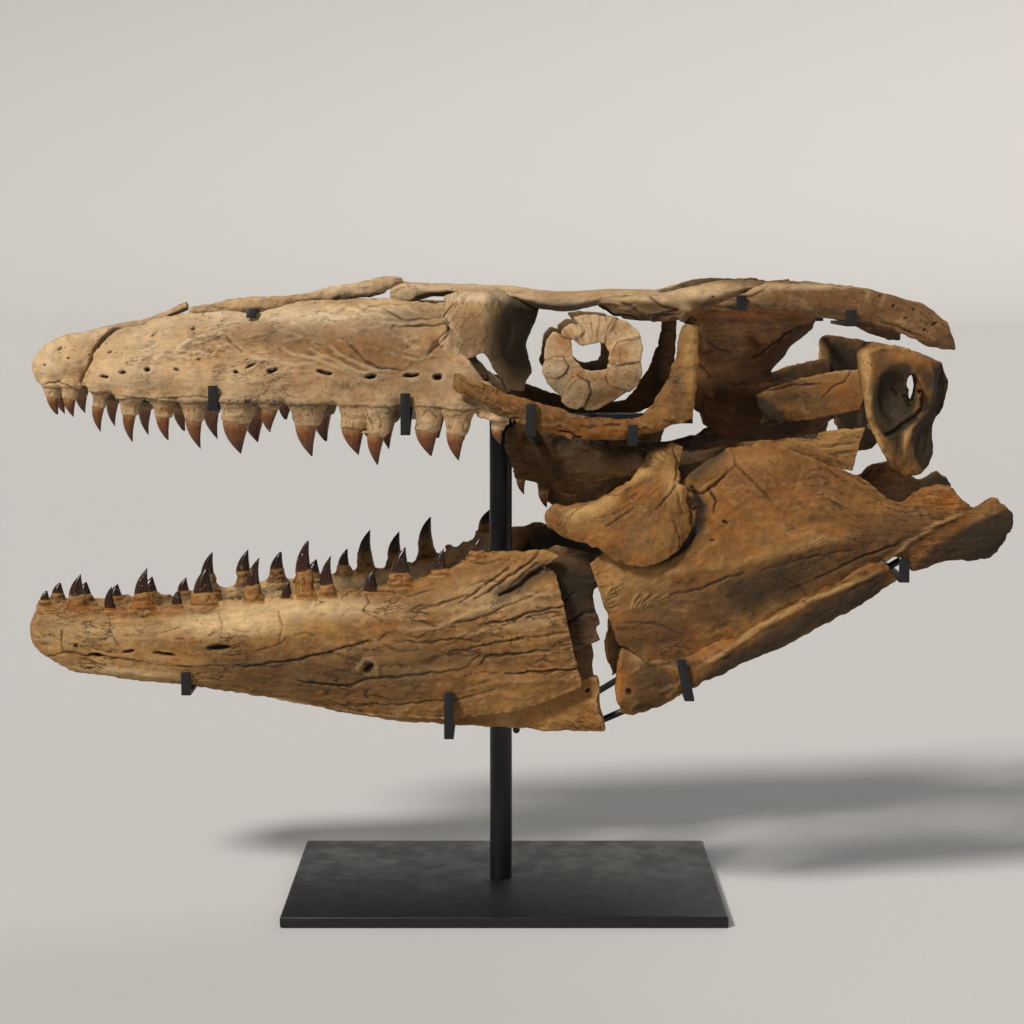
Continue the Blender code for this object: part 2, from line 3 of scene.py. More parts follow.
import bpy
import numpy as np
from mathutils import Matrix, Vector


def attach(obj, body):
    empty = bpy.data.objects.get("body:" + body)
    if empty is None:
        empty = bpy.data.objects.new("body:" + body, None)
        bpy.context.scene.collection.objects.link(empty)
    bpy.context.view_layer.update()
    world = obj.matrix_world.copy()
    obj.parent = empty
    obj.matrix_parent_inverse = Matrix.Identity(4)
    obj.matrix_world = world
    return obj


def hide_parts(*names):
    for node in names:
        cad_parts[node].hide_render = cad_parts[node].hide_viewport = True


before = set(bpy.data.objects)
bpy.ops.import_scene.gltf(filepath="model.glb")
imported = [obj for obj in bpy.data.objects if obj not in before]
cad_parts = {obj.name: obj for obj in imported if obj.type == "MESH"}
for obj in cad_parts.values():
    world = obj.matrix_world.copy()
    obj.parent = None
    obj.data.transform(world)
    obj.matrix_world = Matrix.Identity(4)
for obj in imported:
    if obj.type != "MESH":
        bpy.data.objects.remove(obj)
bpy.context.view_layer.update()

datum = 100  # height in mm that the bones' heights are counted from
sideSigns = {"left": -1, "right": 1}


# picking, editing, modifiers and joins

def pick(*objs):
    bpy.ops.object.select_all(action="DESELECT")
    for obj in objs:
        obj.select_set(True)
    bpy.context.view_layer.objects.active = objs[0]


def applyModifier(obj, kind, **settings):
    pick(obj)
    modifier = obj.modifiers.new(kind.lower(), kind)
    for name, value in settings.items():
        setattr(modifier, name, value)
    bpy.ops.object.modifier_apply(modifier=modifier.name)


def editAll(obj):
    pick(obj)
    bpy.ops.object.mode_set(mode="EDIT")
    bpy.ops.mesh.select_all(action="SELECT")


def leaveEdit():
    bpy.ops.object.mode_set(mode="OBJECT")


def leaveSolid():
    bpy.ops.mesh.select_all(action="SELECT")
    bpy.ops.mesh.normals_make_consistent(inside=False)
    leaveEdit()


def newest(name):
    obj = bpy.context.active_object
    obj.name = obj.data.name = name
    return obj


def copyNode(nodeName, pieceName):
    obj = bpy.data.objects.new(pieceName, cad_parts[nodeName].data.copy())
    obj.data.materials.clear()
    bpy.context.scene.collection.objects.link(obj)
    editAll(obj)
    bpy.ops.mesh.remove_doubles(threshold=0.00001)
    leaveEdit()
    return obj


def copyPiece(obj, pieceName):
    twin = obj.copy()
    twin.data = obj.data.copy()
    twin.name = twin.data.name = pieceName
    bpy.context.scene.collection.objects.link(twin)
    return twin


def joinAll(objs):
    pick(*objs)
    bpy.ops.object.join()
    return objs[0]


def settle(obj):
    pick(obj)
    bpy.ops.object.transform_apply(location=True, rotation=True, scale=True)


def finishPiece(obj, material, slotName, *nodeNames):
    settle(obj)
    obj.data.materials.clear()
    obj.data.materials.append(material)
    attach(obj, "root")
    if nodeNames:
        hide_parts(*nodeNames)


# mesh arrays, in millimetres

def readPoints(obj):
    flat = np.empty(len(obj.data.vertices) * 3, np.float32)
    obj.data.vertices.foreach_get("co", flat)
    return flat.reshape(-1, 3).astype(float) * 1000


def writePoints(obj, points):
    obj.data.vertices.foreach_set("co", (points / 1000).astype(np.float32).ravel())
    obj.data.update()


def readNormals(obj):
    flat = np.empty(len(obj.data.vertices) * 3, np.float32)
    obj.data.vertex_normals.foreach_get("vector", flat)
    return flat.reshape(-1, 3).astype(float)


def readEdges(obj):
    flat = np.empty(len(obj.data.edges) * 2, np.int32)
    obj.data.edges.foreach_get("vertices", flat)
    return flat.reshape(-1, 2)


def writeVector(obj, name, values):
    attribute = obj.data.attributes.new(name, "FLOAT_VECTOR", "POINT")
    attribute.data.foreach_set("vector", values.astype(np.float32).ravel())


def ringMean(points, edges, degree):
    mean = np.empty_like(points)
    a, b = edges[:, 0], edges[:, 1]
    for axis in range(points.shape[1]):
        values = points[:, axis]
        mean[:, axis] = np.bincount(a, values[b], len(points)) + np.bincount(b, values[a], len(points))
    return mean / degree[:, None]


def smoothStep(low, high, value):
    share = np.clip((value - low) / (high - low), 0, 1)
    return share * share * (3 - 2 * share)


latticeDraw = np.random.default_rng(7)
latticeOrder = np.tile(latticeDraw.permutation(256), 2)
latticeSlopes = latticeDraw.normal(size=(256, 3))
latticeSlopes /= np.linalg.norm(latticeSlopes, axis=1)[:, None]


def ripple(points, size, seed):
    # smooth noise of about -1 to 1, with swells of the given size in mm
    places = points / size + seed * 17.37
    cell = np.floor(places).astype(int)
    part = places - cell
    ease = part ** 3 * (part * (part * 6 - 15) + 10)
    cell &= 255
    total = np.zeros(len(points))
    for dx in (0, 1):
        forX = latticeOrder[(cell[:, 0] + dx) & 255]
        shareX = ease[:, 0] if dx else 1 - ease[:, 0]
        for dy in (0, 1):
            forY = latticeOrder[(forX + cell[:, 1] + dy) & 255]
            shareY = shareX * (ease[:, 1] if dy else 1 - ease[:, 1])
            for dz in (0, 1):
                slope = latticeSlopes[latticeOrder[(forY + cell[:, 2] + dz) & 255]]
                height = slope[:, 0] * (part[:, 0] - dx)
                height += slope[:, 1] * (part[:, 1] - dy)
                height += slope[:, 2] * (part[:, 2] - dz)
                total += height * shareY * (ease[:, 2] if dz else 1 - ease[:, 2])
    return total * 1.7


def nearLine(x, z, line):
    # distance of each place to a drawn line, and how far along the line its nearest point lies
    lengths = [math.dist(a, b) for a, b in zip(line, line[1:])]
    best, along, passed = np.full(len(x), 1e9), np.zeros(len(x)), 0
    for (ax, az), (bx, bz), length in zip(line, line[1:], lengths):
        share = np.clip(((x - ax) * (bx - ax) + (z - az) * (bz - az)) / length ** 2, 0, 1)
        distance = np.hypot(x - ax - share * (bx - ax), z - az - share * (bz - az))
        closer = distance < best
        best[closer] = distance[closer]
        along[closer] = (passed + share[closer] * length) / sum(lengths)
        passed += length
    return best, along


# materials: a wire is one socket, and arithmetic on wires adds Math nodes

class Wire:
    def __init__(self, paint, socket):
        self.paint, self.socket = paint, socket

    def __add__(self, other):
        return self.paint.maths("ADD", self, other)

    def __radd__(self, other):
        return self.paint.maths("ADD", other, self)

    def __sub__(self, other):
        return self.paint.maths("SUBTRACT", self, other)

    def __rsub__(self, other):
        return self.paint.maths("SUBTRACT", other, self)

    def __mul__(self, other):
        return self.paint.maths("MULTIPLY", self, other)

    def __rmul__(self, other):
        return self.paint.maths("MULTIPLY", other, self)


class Paint:
    def __init__(self, name):
        self.material = bpy.data.materials.new(name)
        self.material.use_nodes = True
        self.tree = self.material.node_tree
        self.tree.nodes.clear()

    def node(self, kind, settings, sockets, out=0):
        node = self.tree.nodes.new(kind)
        for name, value in settings.items():
            setattr(node, name, value)
        for name, value in sockets.items():
            if isinstance(value, Wire):
                self.tree.links.new(value.socket, node.inputs[name])
            else:
                node.inputs[name].default_value = value
        return Wire(self, node.outputs[out]) if node.outputs else node

    def maths(self, operation, a, b):
        return self.node("ShaderNodeMath", {"operation": operation}, {0: a, 1: b})

    def place(self):
        return self.node("ShaderNodeTexCoord", {}, {}, "Object")

    def stretch(self, vector, scale):
        return self.node("ShaderNodeVectorMath", {"operation": "MULTIPLY"}, {0: vector, 1: scale})

    def attribute(self, name, out):
        return self.node("ShaderNodeAttribute", {"attribute_name": name}, {}, out)

    def split(self, vector, out):
        return self.node("ShaderNodeSeparateXYZ", {}, {0: vector}, out)

    def noise(self, vector, scale, detail=3, roughness=0.55, distortion=0):
        sockets = {"Vector": vector, "Scale": scale, "Detail": detail}
        sockets.update({"Roughness": roughness, "Distortion": distortion})
        return self.node("ShaderNodeTexNoise", {}, sockets)

    def cells(self, vector, scale, feature):
        sockets = {"Vector": vector, "Scale": scale}
        return self.node("ShaderNodeTexVoronoi", {"feature": feature}, sockets, "Distance")

    def between(self, value, low, high, start=0.0, end=1.0):
        sockets = {"Value": value, "From Min": low, "From Max": high, "To Min": start, "To Max": end}
        return self.node("ShaderNodeMapRange", {"interpolation_type": "SMOOTHSTEP"}, sockets)

    def mix(self, share, a, b, blend="MIX"):
        colours = [c if isinstance(c, Wire) else (*c, 1) for c in (a, b)]
        settings = {"data_type": "RGBA", "blend_type": blend, "clamp_factor": True}
        return self.node("ShaderNodeMix", settings, {0: share, 6: colours[0], 7: colours[1]}, 2)

    def layer(self, colour, patterns, tints, layers):
        for pattern, low, high, amount, tint in layers:
            colour = self.mix(self.between(patterns[pattern], low, high) * amount, colour, tints[tint])
        return colour

    def grey(self, value):
        return self.node("ShaderNodeCombineColor", {}, {0: value, 1: value, 2: value})

    def warm(self, value):
        # a grey that leans to brown the way old bone does
        return self.node("ShaderNodeCombineColor", {}, {0: value, 1: value * 0.965, 2: value * 0.88})

    def bump(self, height, distance, strength=1.0):
        return self.node("ShaderNodeBump", {}, {"Strength": strength, "Distance": distance, "Height": height})

    def finish(self, sockets):
        shader = self.node("ShaderNodeBsdfPrincipled", {}, sockets)
        self.node("ShaderNodeOutputMaterial", {}, {"Surface": shader})
        return self.material


bonePaints = {
    "cream": {"light": (0.60, 0.415, 0.24), "mid": (0.42, 0.265, 0.135), "ochre": (0.36, 0.18, 0.062),
              "pale": (0.71, 0.57, 0.40), "grey": (0.27, 0.195, 0.125), "fibre": 0.6, "crack": 0.45},
    "tan": {"light": (0.36, 0.190, 0.062), "mid": (0.205, 0.096, 0.029), "ochre": (0.27, 0.105, 0.021),
            "pale": (0.62, 0.44, 0.245), "grey": (0.145, 0.088, 0.041), "fibre": 0.9, "crack": 0.8},
    "orange": {"light": (0.262, 0.126, 0.037), "mid": (0.150, 0.064, 0.0175), "ochre": (0.29, 0.098, 0.014),
               "pale": (0.47, 0.29, 0.115), "grey": (0.115, 0.068, 0.029), "fibre": 0.5, "crack": 0.6},
    "rust": {"light": (0.225, 0.105, 0.030), "mid": (0.130, 0.056, 0.015), "ochre": (0.33, 0.118, 0.018),
             "pale": (0.46, 0.28, 0.110), "grey": (0.090, 0.052, 0.022), "fibre": 0.5, "crack": 0.6},
    "umber": {"light": (0.20, 0.104, 0.040), "mid": (0.120, 0.059, 0.022), "ochre": (0.18, 0.070, 0.018),
              "pale": (0.50, 0.36, 0.215), "grey": (0.095, 0.060, 0.033), "fibre": 0.6, "crack": 0.5},
    # shaded_brown: dark brown bone made darker still as painted shade, for the bones deep inside the skull
    "shaded_brown": {"light": (0.080, 0.035, 0.011), "mid": (0.044, 0.018, 0.006), "ochre": (0.13, 0.040, 0.009),
              "pale": (0.20, 0.105, 0.042), "grey": (0.036, 0.020, 0.011), "fibre": 0.6, "crack": 0.4},
}
# stains and dirt the bone has, and the colour of painted shade
boneDirtAndShade = {
    "stain_and_shade": (0.022, 0.013, 0.008),  # stain settled in cracks and pores, and painted shade in holes, gaps and the grooves round teeth
    "dirt_and_shade": (0.074, 0.038, 0.014),  # dirt lying in the hollows, and painted shade there
    "painted_shade": (0.016, 0.014, 0.009)}  # painted shade: the greenish dark grey that the most shaded places are pulled toward
# noise on a bone as scale, detail, roughness and distortion, and noise that runs with its fibres, as how
# closely it is set along and across them, then detail and roughness
boneNoise = {
    "cracked": (11,), "patches": (14, 6, 0.6), "rust": (24, 6, 0.66, 0.8), "porous": (30,),
    "blotch": (42, 5, 0.68, 0.6), "mottle": (90, 5, 0.62), "knobs": (190, 4, 0.6), "specks": (240, 3, 0.7),
    "grit": (480, 3, 0.65)}
fibreNoise = {
    "streaks": (14, 30, 5, 0.62), "web": (13, 78, 5, 0.62), "streak": (13, 88, 4, 0.6),
    "fibre": (24, 330, 4, 0.6)}
boneTexture = {"pores": 230, "relief": 0.0013, "reliefStrength": 0.85, "gloss": 0.22, "rough": (0.58, 0.84)}
# layers of colour as a pattern, the values where it starts and is full, its amount and its tint
boneLayers = [
    ("patches", 0.30, 0.70, 1, "light"), ("rust", 0.46, 0.72, 0.6, "ochre"),
    ("streaks", 0.48, 0.72, 0.62, "grey"),
    ("blotch", 0.54, 0.70, 0.28, "pale"), ("blotch", 0.44, 0.30, 0.40, "grey"),
    ("tone", 0, 1, 1, "pale"), ("tone", 0, -1, 1, "ochre")]
wearLayers = [("relief", 0.05, 0.9, 0.45, "worn"), ("relief", -0.05, -0.9, 0.42, "dirt_and_shade")]


def bonePaint(name, look):
    paint = Paint(name)
    place = paint.place()
    grain = paint.attribute("grain", "Vector")
    marks = paint.attribute("look", "Vector")
    seen = {word: paint.split(marks, axis) for word, axis in (("dark", "X"), ("relief", "Y"), ("tone", "Z"))}
    seen.update({word: paint.noise(place, *values) for word, values in boneNoise.items()})
    for word, (along, across, *values) in fibreNoise.items():
        seen[word] = paint.noise(paint.stretch(grain, (along, across, across)), 1, *values)
    fibre, streak, mottle, grit = (seen[word] for word in ("fibre", "streak", "mottle", "grit"))
    # worn edges are paler than the rest, and hollows hold dirt and painted shade
    worn = tuple(0.7 * light + 0.3 * pale for light, pale in zip(look["light"], look["pale"]))
    tints = {**look, **boneDirtAndShade, "worn": worn}
    colour = paint.layer(look["mid"], seen, tints, boneLayers)
    shade = 0.42 + (fibre - 0.5) * (0.55 * look["fibre"]) + (streak - 0.5) * (0.75 * look["fibre"])
    shade = shade + mottle * 0.95 + (grit - 0.5) * 0.35 + 0.10
    colour = paint.mix(1.0, colour, paint.warm(shade), "MULTIPLY")
    colour = paint.layer(colour, seen, tints, wearLayers)
    # fine cracks along the fibres, specks and pores
    web = paint.maths("ABSOLUTE", seen["web"] - 0.5, 0.0)
    hairline = paint.between(web, 0.014, 0.001) * paint.between(seen["cracked"], 0.47, 0.60)
    specks = paint.between(seen["specks"], 0.60, 0.70) * paint.between(mottle, 0.62, 0.40)
    pores = paint.between(paint.cells(place, boneTexture["pores"], "F1"), 0.24, 0.10)
    pores = pores * paint.between(seen["porous"], 0.52, 0.66)
    # painted shade: the shadow attribute pulls the colour toward a greenish dark grey
    shadow = paint.attribute("shadow", "Fac")
    for share, tint in (
            (specks * 0.35, "dirt_and_shade"), (hairline * look["crack"], "stain_and_shade"), (pores * 0.6, "stain_and_shade"),
            (seen["dark"], "stain_and_shade"), (shadow * 0.90, "painted_shade")):
        colour = paint.mix(share, colour, tints[tint])
    rough = paint.between(mottle + seen["dark"] * 0.4, 0.3, 0.75, *boneTexture["rough"])
    height = fibre * (0.45 * look["fibre"]) + streak * (0.5 * look["fibre"]) + grit * 0.35 + mottle * 1.0
    height = height + seen["knobs"] * 0.5 - hairline * (0.9 * look["crack"]) - pores * 0.8
    bump = paint.bump(height, boneTexture["relief"], boneTexture["reliefStrength"])
    return paint.finish({
        "Base Color": colour, "Roughness": rough, "Normal": bump, "Specular IOR Level": boneTexture["gloss"]})


enamelPaints = {
    "upper": {"fade": (-0.02, 0.36), "root": (0.33, 0.16, 0.052), "body": (0.17, 0.052, 0.010),
              "tip": (0.055, 0.019, 0.008)},
    "lower": {"fade": (-0.12, 0.10), "root": (0.25, 0.11, 0.028), "body": (0.036, 0.012, 0.004),
              "tip": (0.014, 0.006, 0.0035)},
}
# how closely a crown's streaks, worn edges, chips and cracks are set, and its gloss
enamel = {
    "streaks": (330, 330, 26), "edge": 120, "edgeShare": 0.34, "chips": 150, "cracks": (150, 150, 45),
    "crack": (0.012, 0.007, 0.005), "gloss": 0.38, "coat": 0.12, "coatRough": 0.15, "relief": 0.0005,
    "reliefStrength": 0.6}


def enamelPaint(name, look):
    paint = Paint(name)
    place = paint.place()
    height = paint.split(paint.attribute("crown", "Vector"), "X")
    streak = paint.noise(paint.stretch(place, enamel["streaks"]), 1, 3, 0.6)
    edge = height + (paint.noise(place, enamel["edge"]) - 0.5) * enamel["edgeShare"]
    colour = paint.mix(paint.between(edge, *look["fade"]), look["root"], look["body"])
    colour = paint.mix(paint.between(edge, look["fade"][1], 0.95), colour, look["tip"])
    colour = paint.mix(1.0, colour, paint.grey(streak * 0.8 + 0.60), "MULTIPLY")
    chips = paint.between(paint.noise(place, enamel["chips"], 3, 0.6), 0.63, 0.70)
    colour = paint.mix(chips * 0.5, colour, look["root"])
    cells = paint.cells(paint.stretch(place, enamel["cracks"]), 1, "DISTANCE_TO_EDGE")
    split = paint.between(cells, 0.03, 0.0)
    colour = paint.mix(split * 0.6, colour, enamel["crack"])
    rough = 0.18 + streak * 0.16 + chips * 0.3
    relief = streak * 0.4 - split * 0.8 - chips * 0.4
    return paint.finish({
        "Base Color": colour, "Roughness": rough, "Specular IOR Level": enamel["gloss"],
        "Coat Weight": enamel["coat"], "Coat Roughness": enamel["coatRough"],
        "Normal": paint.bump(relief, enamel["relief"], enamel["reliefStrength"])})


steelLook = {
    "colour": (0.012, 0.012, 0.013), "worn": (0.05, 0.048, 0.045), "rough": 0.42, "metal": 0.3, "peel": 900,
    "clouds": 38, "rubs": 260, "relief": 0.00025, "reliefStrength": 0.5}


def steelPaint():
    paint = Paint("satin_black_steel")
    place = paint.place()
    peel = paint.noise(place, steelLook["peel"], 2)
    cloud = paint.noise(place, steelLook["clouds"], 4, 0.6)
    rubbed = paint.between(paint.noise(place, steelLook["rubs"], 4, 0.7), 0.62, 0.74)
    colour = paint.mix(rubbed * 0.5, steelLook["colour"], steelLook["worn"])
    rough = paint.between(cloud, 0.3, 0.7, steelLook["rough"] - 0.07, steelLook["rough"] + 0.1)
    bump = paint.bump(peel + rubbed * 0.4, steelLook["relief"], steelLook["reliefStrength"])
    return paint.finish({
        "Base Color": colour, "Metallic": steelLook["metal"], "Roughness": rough, "Normal": bump})


bonePaintOf = {name: bonePaint(f"{name}_fossil_bone", look) for name, look in bonePaints.items()}
enamelPaintOf = {name: enamelPaint(f"{name}_enamel", look) for name, look in enamelPaints.items()}
steel = steelPaint()
print("materials ready")


# tooth rows: x of the root, width along the jaw, length, how far the tip lies behind, all in mm;
# then the share of the length that is bony root, and how stout the crown is
toothRows = {
    "premaxilla": [(-477, 20, 32, 5, 0.36, 0.66), (-455, 18, 32, 2, 0.40, 0.72)],
    "maxilla": [
        (-420, 20, 43, -3, 0.36, 0.66), (-387, 26, 47, -1, 0.32, 0.56), (-353, 27, 44, 4, 0.36, 0.56),
        (-319, 26, 50, 4, 0.36, 0.68), (-272, 34, 55, 0, 0.36, 0.82), (-238, 21, 32, -3, 0.22, 0.84),
        (-199, 36, 56, 2, 0.36, 0.64), (-151, 27, 52, 2, 0.45, 0.88), (-121, 27, 62, -8, 0.46, 0.68),
        (-74, 29, 52, 0, 0.47, 0.80), (-42, 29, 54, -4, 0.46, 0.66), (-6, 17, 26, 3, 0.42, 0.62)],
    "dentary_left": [
        (-490, 13, 16, 2, 0.35, 0.80), (-452, 23, 38, 2, 0.40, 0.74), (-418, 13, 25, 2, 0.05, 0.95),
        (-381, 25, 44, 4, 0.36, 0.66), (-345, 13, 21, 3, 0.20, 0.90), (-314, 26, 42, 3, 0.30, 0.86),
        (-262, 20, 46, 6, 0.34, 0.76), (-227, 13, 19, 3, 0.0, 0.95), (-205, 20, 62, 2, 0.42, 0.84),
        (-183, 17, 42, 3, 0.26, 0.84), (-138, 17, 24, 3, 0.0, 1.0), (-106, 23, 42, 4, 0.34, 0.86),
        (-66, 20, 28, 4, 0.20, 0.76), (-28, 18, 22, 5, 0.30, 0.74)],
    "dentary_right": [
        (-484, 16, 20, 2, 0.40, 0.8), (-457, 20, 22, 2, 0.40, 0.8), (-424, 18, 18, 2, 0.30, 0.8),
        (-388, 22, 24, 3, 0.30, 0.8), (-352, 16, 20, 3, 0.30, 0.8), (-324, 23, 46, 4, 0.40, 0.66),
        (-286, 20, 42, 4, 0.42, 0.8), (-250, 20, 36, 4, 0.42, 0.76), (-212, 18, 22, 4, 0.35, 0.8),
        (-178, 18, 30, 4, 0.38, 0.7), (-153, 19, 48, 4, 0.48, 0.76), (-121, 20, 42, 4, 0.42, 0.76),
        (-86, 20, 48, 4, 0.46, 0.76), (-22, 18, 24, 5, 0.35, 0.76)],
    "pterygoid": [(18, 12, 24, 3, 0.3, 0.8), (42, 14, 26, 3, 0.3, 0.8), (70, 12, 16, 3, 0.3, 0.8)],
}
toothShape = {"bow": 0.07, "hook": 0.05, "hookFrom": 0.6}  # over its length, how a tooth bows and hooks back
upwardTeeth = ("dentary_left", "dentary_right")


def findTeeth(nodeName):
    # each tooth's root and measures, found from its tip on the solid
    rowName = nodeName if nodeName in toothRows else nodeName.rsplit("_", 1)[0]
    up = 1 if nodeName in upwardTeeth else -1
    points = readPoints(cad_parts[nodeName])
    teeth = []
    for side in (-1, 1):
        mine = points[points[:, 1] * side > 0]
        for x, width, length, lean, start, stout in toothRows.get(rowName, ()) if len(mine) else ():
            near = mine[abs(mine[:, 0] - x - lean) < 0.5]
            tip = near[np.argmax(near[:, 2] * up)]
            teeth.append({"x": x, "y": tip[1], "z": tip[2] - up * length, "up": up, "width": width,
                          "length": length, "lean": lean, "start": start, "girth": stout * width / 2})
    return teeth


def toothCentre(tooth, share):
    bow = toothShape["bow"] * tooth["length"] * np.sin(np.pi * np.clip(share, 0, 1))
    hook, hookFrom = toothShape["hook"] * tooth["length"], toothShape["hookFrom"]
    bent = hook * np.clip((share - hookFrom) / (1 - hookFrom), 0, 1) ** 2
    return tooth["x"] + (tooth["lean"] - hook) * share - bow + bent


# the sockets that teeth stand in: a bony cone, a swollen rim round its foot, a collar under the crown, crumbs
socket = {
    "footGirth": 0.60, "topOver": 1.12, "flatten": 0.86, "depth": 6, "collar": 1.3, "collarFrom": 0.1,
    "rimGirth": 0.74, "rimHeight": 3.4, "rimFlatten": 0.8,
    "crumb": (1.8, 4.2), "crumbStray": (("x", 1), ("y", 5), ("z", 1)),
}


def growSockets(teeth, seed, crumbs):
    draw = np.random.default_rng(int(seed * 100))
    extra = []
    for tooth in teeth:
        up, y = tooth["up"], tooth["y"] / 1000
        reach = (tooth["start"] + 0.02) * tooth["length"] + socket["depth"]
        foot = tooth["z"] - up * socket["depth"]
        centre = toothCentre(tooth, tooth["start"] / 2) / 1000
        bpy.ops.mesh.primitive_cone_add(
            vertices=16, radius1=socket["footGirth"] * tooth["width"] / 1000, depth=reach / 1000,
            radius2=socket["topOver"] * tooth["girth"] / 1000,
            location=(centre, y, (foot + up * reach / 2) / 1000),
            rotation=(0 if up > 0 else math.pi, 0, 0), scale=(1, socket["flatten"], 1))
        extra.append(newest("cone"))
        if tooth["start"] > socket["collarFrom"]:
            bpy.ops.mesh.primitive_torus_add(
                major_segments=18, minor_segments=8, major_radius=socket["topOver"] * tooth["girth"] / 1000,
                minor_radius=socket["collar"] / 1000,
                location=(toothCentre(tooth, tooth["start"]) / 1000, y, (foot + up * (reach - 2)) / 1000))
            collar = newest("collar")
            collar.scale = (1, socket["flatten"], 1)
            extra.append(collar)
        bpy.ops.mesh.primitive_uv_sphere_add(
            segments=14, ring_count=8, radius=socket["rimGirth"] * tooth["width"] / 1000,
            location=(tooth["x"] / 1000, y, (tooth["z"] - up) / 1000),
            scale=(1, socket["rimFlatten"], socket["rimHeight"] / (socket["rimGirth"] * tooth["width"])))
        extra.append(newest("rim"))
    for a, b in zip(teeth, teeth[1:]):
        if a["y"] * b["y"] < 0:
            continue
        for turn in range(crumbs):
            share, size = draw.uniform(0.3, 0.7), draw.uniform(*socket["crumb"])
            x, y, z = (a[axis] + (b[axis] - a[axis]) * share + draw.uniform(-stray, stray)
                       for axis, stray in socket["crumbStray"])
            bpy.ops.mesh.primitive_ico_sphere_add(
                subdivisions=2, radius=size / 1000, location=(x / 1000, y / 1000, z / 1000),
                rotation=tuple(draw.uniform(0, 3, 3)), scale=tuple(draw.uniform(0.6, 1.7, 3)))
            extra.append(newest("crumb"))
    return extra


def addLumps(obj, bone, seed):
    # knobs, and broken slabs, on the bone's outer face
    draw = np.random.default_rng(int(seed * 100) + 5)
    across = readPoints(obj)[:, 1].mean()
    extra = []
    for side in (-1, 1) if abs(across) < 5 else (math.copysign(1, across),):
        for x, z, length, height, thick, proud, *slope in bone["lumps"]:
            start = Vector((x / 1000, side * 0.4, (z + datum) / 1000))
            found, spot, *rest = obj.ray_cast(start, Vector((0, -side, 0)))
            if not found:
                found, spot, *rest = obj.closest_point_on_mesh(Vector((start.x, across / 1000, start.z)))
            middle = (start.x, spot.y - side * (thick / 2 - proud) / 1000, start.z)
            size = (length / 2, thick / 2, height / 2)
            if slope:
                bpy.ops.mesh.primitive_cube_add(
                    size=0.002, location=middle, rotation=(0, -math.radians(slope[0]), 0), scale=size)
            else:
                turn = (0, draw.uniform(-0.4, 0.4), draw.uniform(-0.3, 0.3))
                bpy.ops.mesh.primitive_ico_sphere_add(
                    subdivisions=3, radius=0.001, location=middle, rotation=turn, scale=size)
            extra.append(newest("lump"))
    return extra


def ownPoints(points, tooth, share):
    # the points that belong to one tooth and not to its neighbours
    besides = abs(points[:, 0] - toothCentre(tooth, share)) < 0.58 * tooth["width"]
    return besides & (abs(points[:, 1] - tooth["y"]) < tooth["width"])


def thinTeeth(points, teeth):
    # the solid's own tooth ends are drawn in, so that they hide inside the crowns
    for tooth in teeth:
        share = (points[:, 2] - tooth["z"]) * tooth["up"] / tooth["length"]
        near = (share > tooth["start"] + 0.04) & ownPoints(points, tooth, share)
        high = share[near]
        keep = 1 - 0.72 * smoothStep(tooth["start"] + 0.04, tooth["start"] + 0.12, high)
        centre = toothCentre(tooth, high)
        points[near, 0] = centre + (points[near, 0] - centre) * keep
        points[near, 1] = tooth["y"] + (points[near, 1] - tooth["y"]) * keep
        points[near, 2] = tooth["z"] + tooth["up"] * tooth["length"] * np.minimum(high, 0.86)


# bones: each entry says how a bone differs from plainBone. skin is the size of its surface's cells in mm, and
# flow (x, low edge, high edge), fan (a centre) or angle says how its fibres run. swell, fibre, rough, flake,
# crackle and pits are the strengths of its wear, grow is how far its skin stands out, rounds and sink are how
# its facets soften and how far edges may give way, rim is how ragged it gets, and crumbs lie between teeth.
# What is drawn is on the outer face as seen from the side, in (x, height) from the datum:
# cracks and ridges as width, depth and line; streaks, which pale a strip, and shadeBands, which paint shade
# along one, as width, amount and line; holes and dishes as x, height, length, height, turn and depth, and
# bowls with an amount of painted shade; tones, redder below 0 and paler above, and shadows, which paint
# shade, as x, height, two reaches and amount; grabs as x, height, two reaches and how far the bone is pulled
# along and up; stretches as x, height, reach and how much taller it gets; lumps as x, height, length, height,
# thickness, how far one stands out and, for a slab, its slope. roots tints the roots of teeth, inner paints
# shade on the inside faces, and innerTone paints light on them as a paler tone.
plainBone = {
    "skin": 1.6, "angle": 0, "swell": 1.0, "fibre": 1.0, "rough": 1.0, "flake": 0.5, "crackle": 0.4,
    "pits": 0.0, "grow": 0.9, "rounds": 90, "sink": 1.3, "rim": 1.0, "crumbs": 0, "roots": 0.0, "inner": 0.62,
    "innerTone": 0.0, "cracks": [], "ridges": [], "streaks": [], "shadeBands": [], "holes": [], "dishes": [],
    "bowls": [], "tones": [], "shadows": [], "grabs": [], "stretches": [], "lumps": []}


def wrinkles(seed, count, patch, slope, length, width, high):
    # short lines strewn over a patch, given as x from and to, height from and to
    draw = np.random.default_rng(seed)
    lines = []
    for turn in range(count):
        x, z = draw.uniform(*patch[:2]), draw.uniform(*patch[2:])
        angle, half = math.radians(slope + draw.uniform(-24, 24)), length / 2 * draw.uniform(0.5, 1.2)
        dx, dz, bend = half * math.cos(angle), half * math.sin(angle), draw.uniform(-0.3, 0.3)
        lines.append((width * draw.uniform(0.8, 1.3), high * draw.uniform(0.5, 1.2),
                      [(x - dx, z - dz), (x - dz * bend, z + dx * bend), (x + dx, z + dz)]))
    return lines


def eachLine(measures, lines):
    return [(*measure, line) for measure, line in zip(measures, lines)]


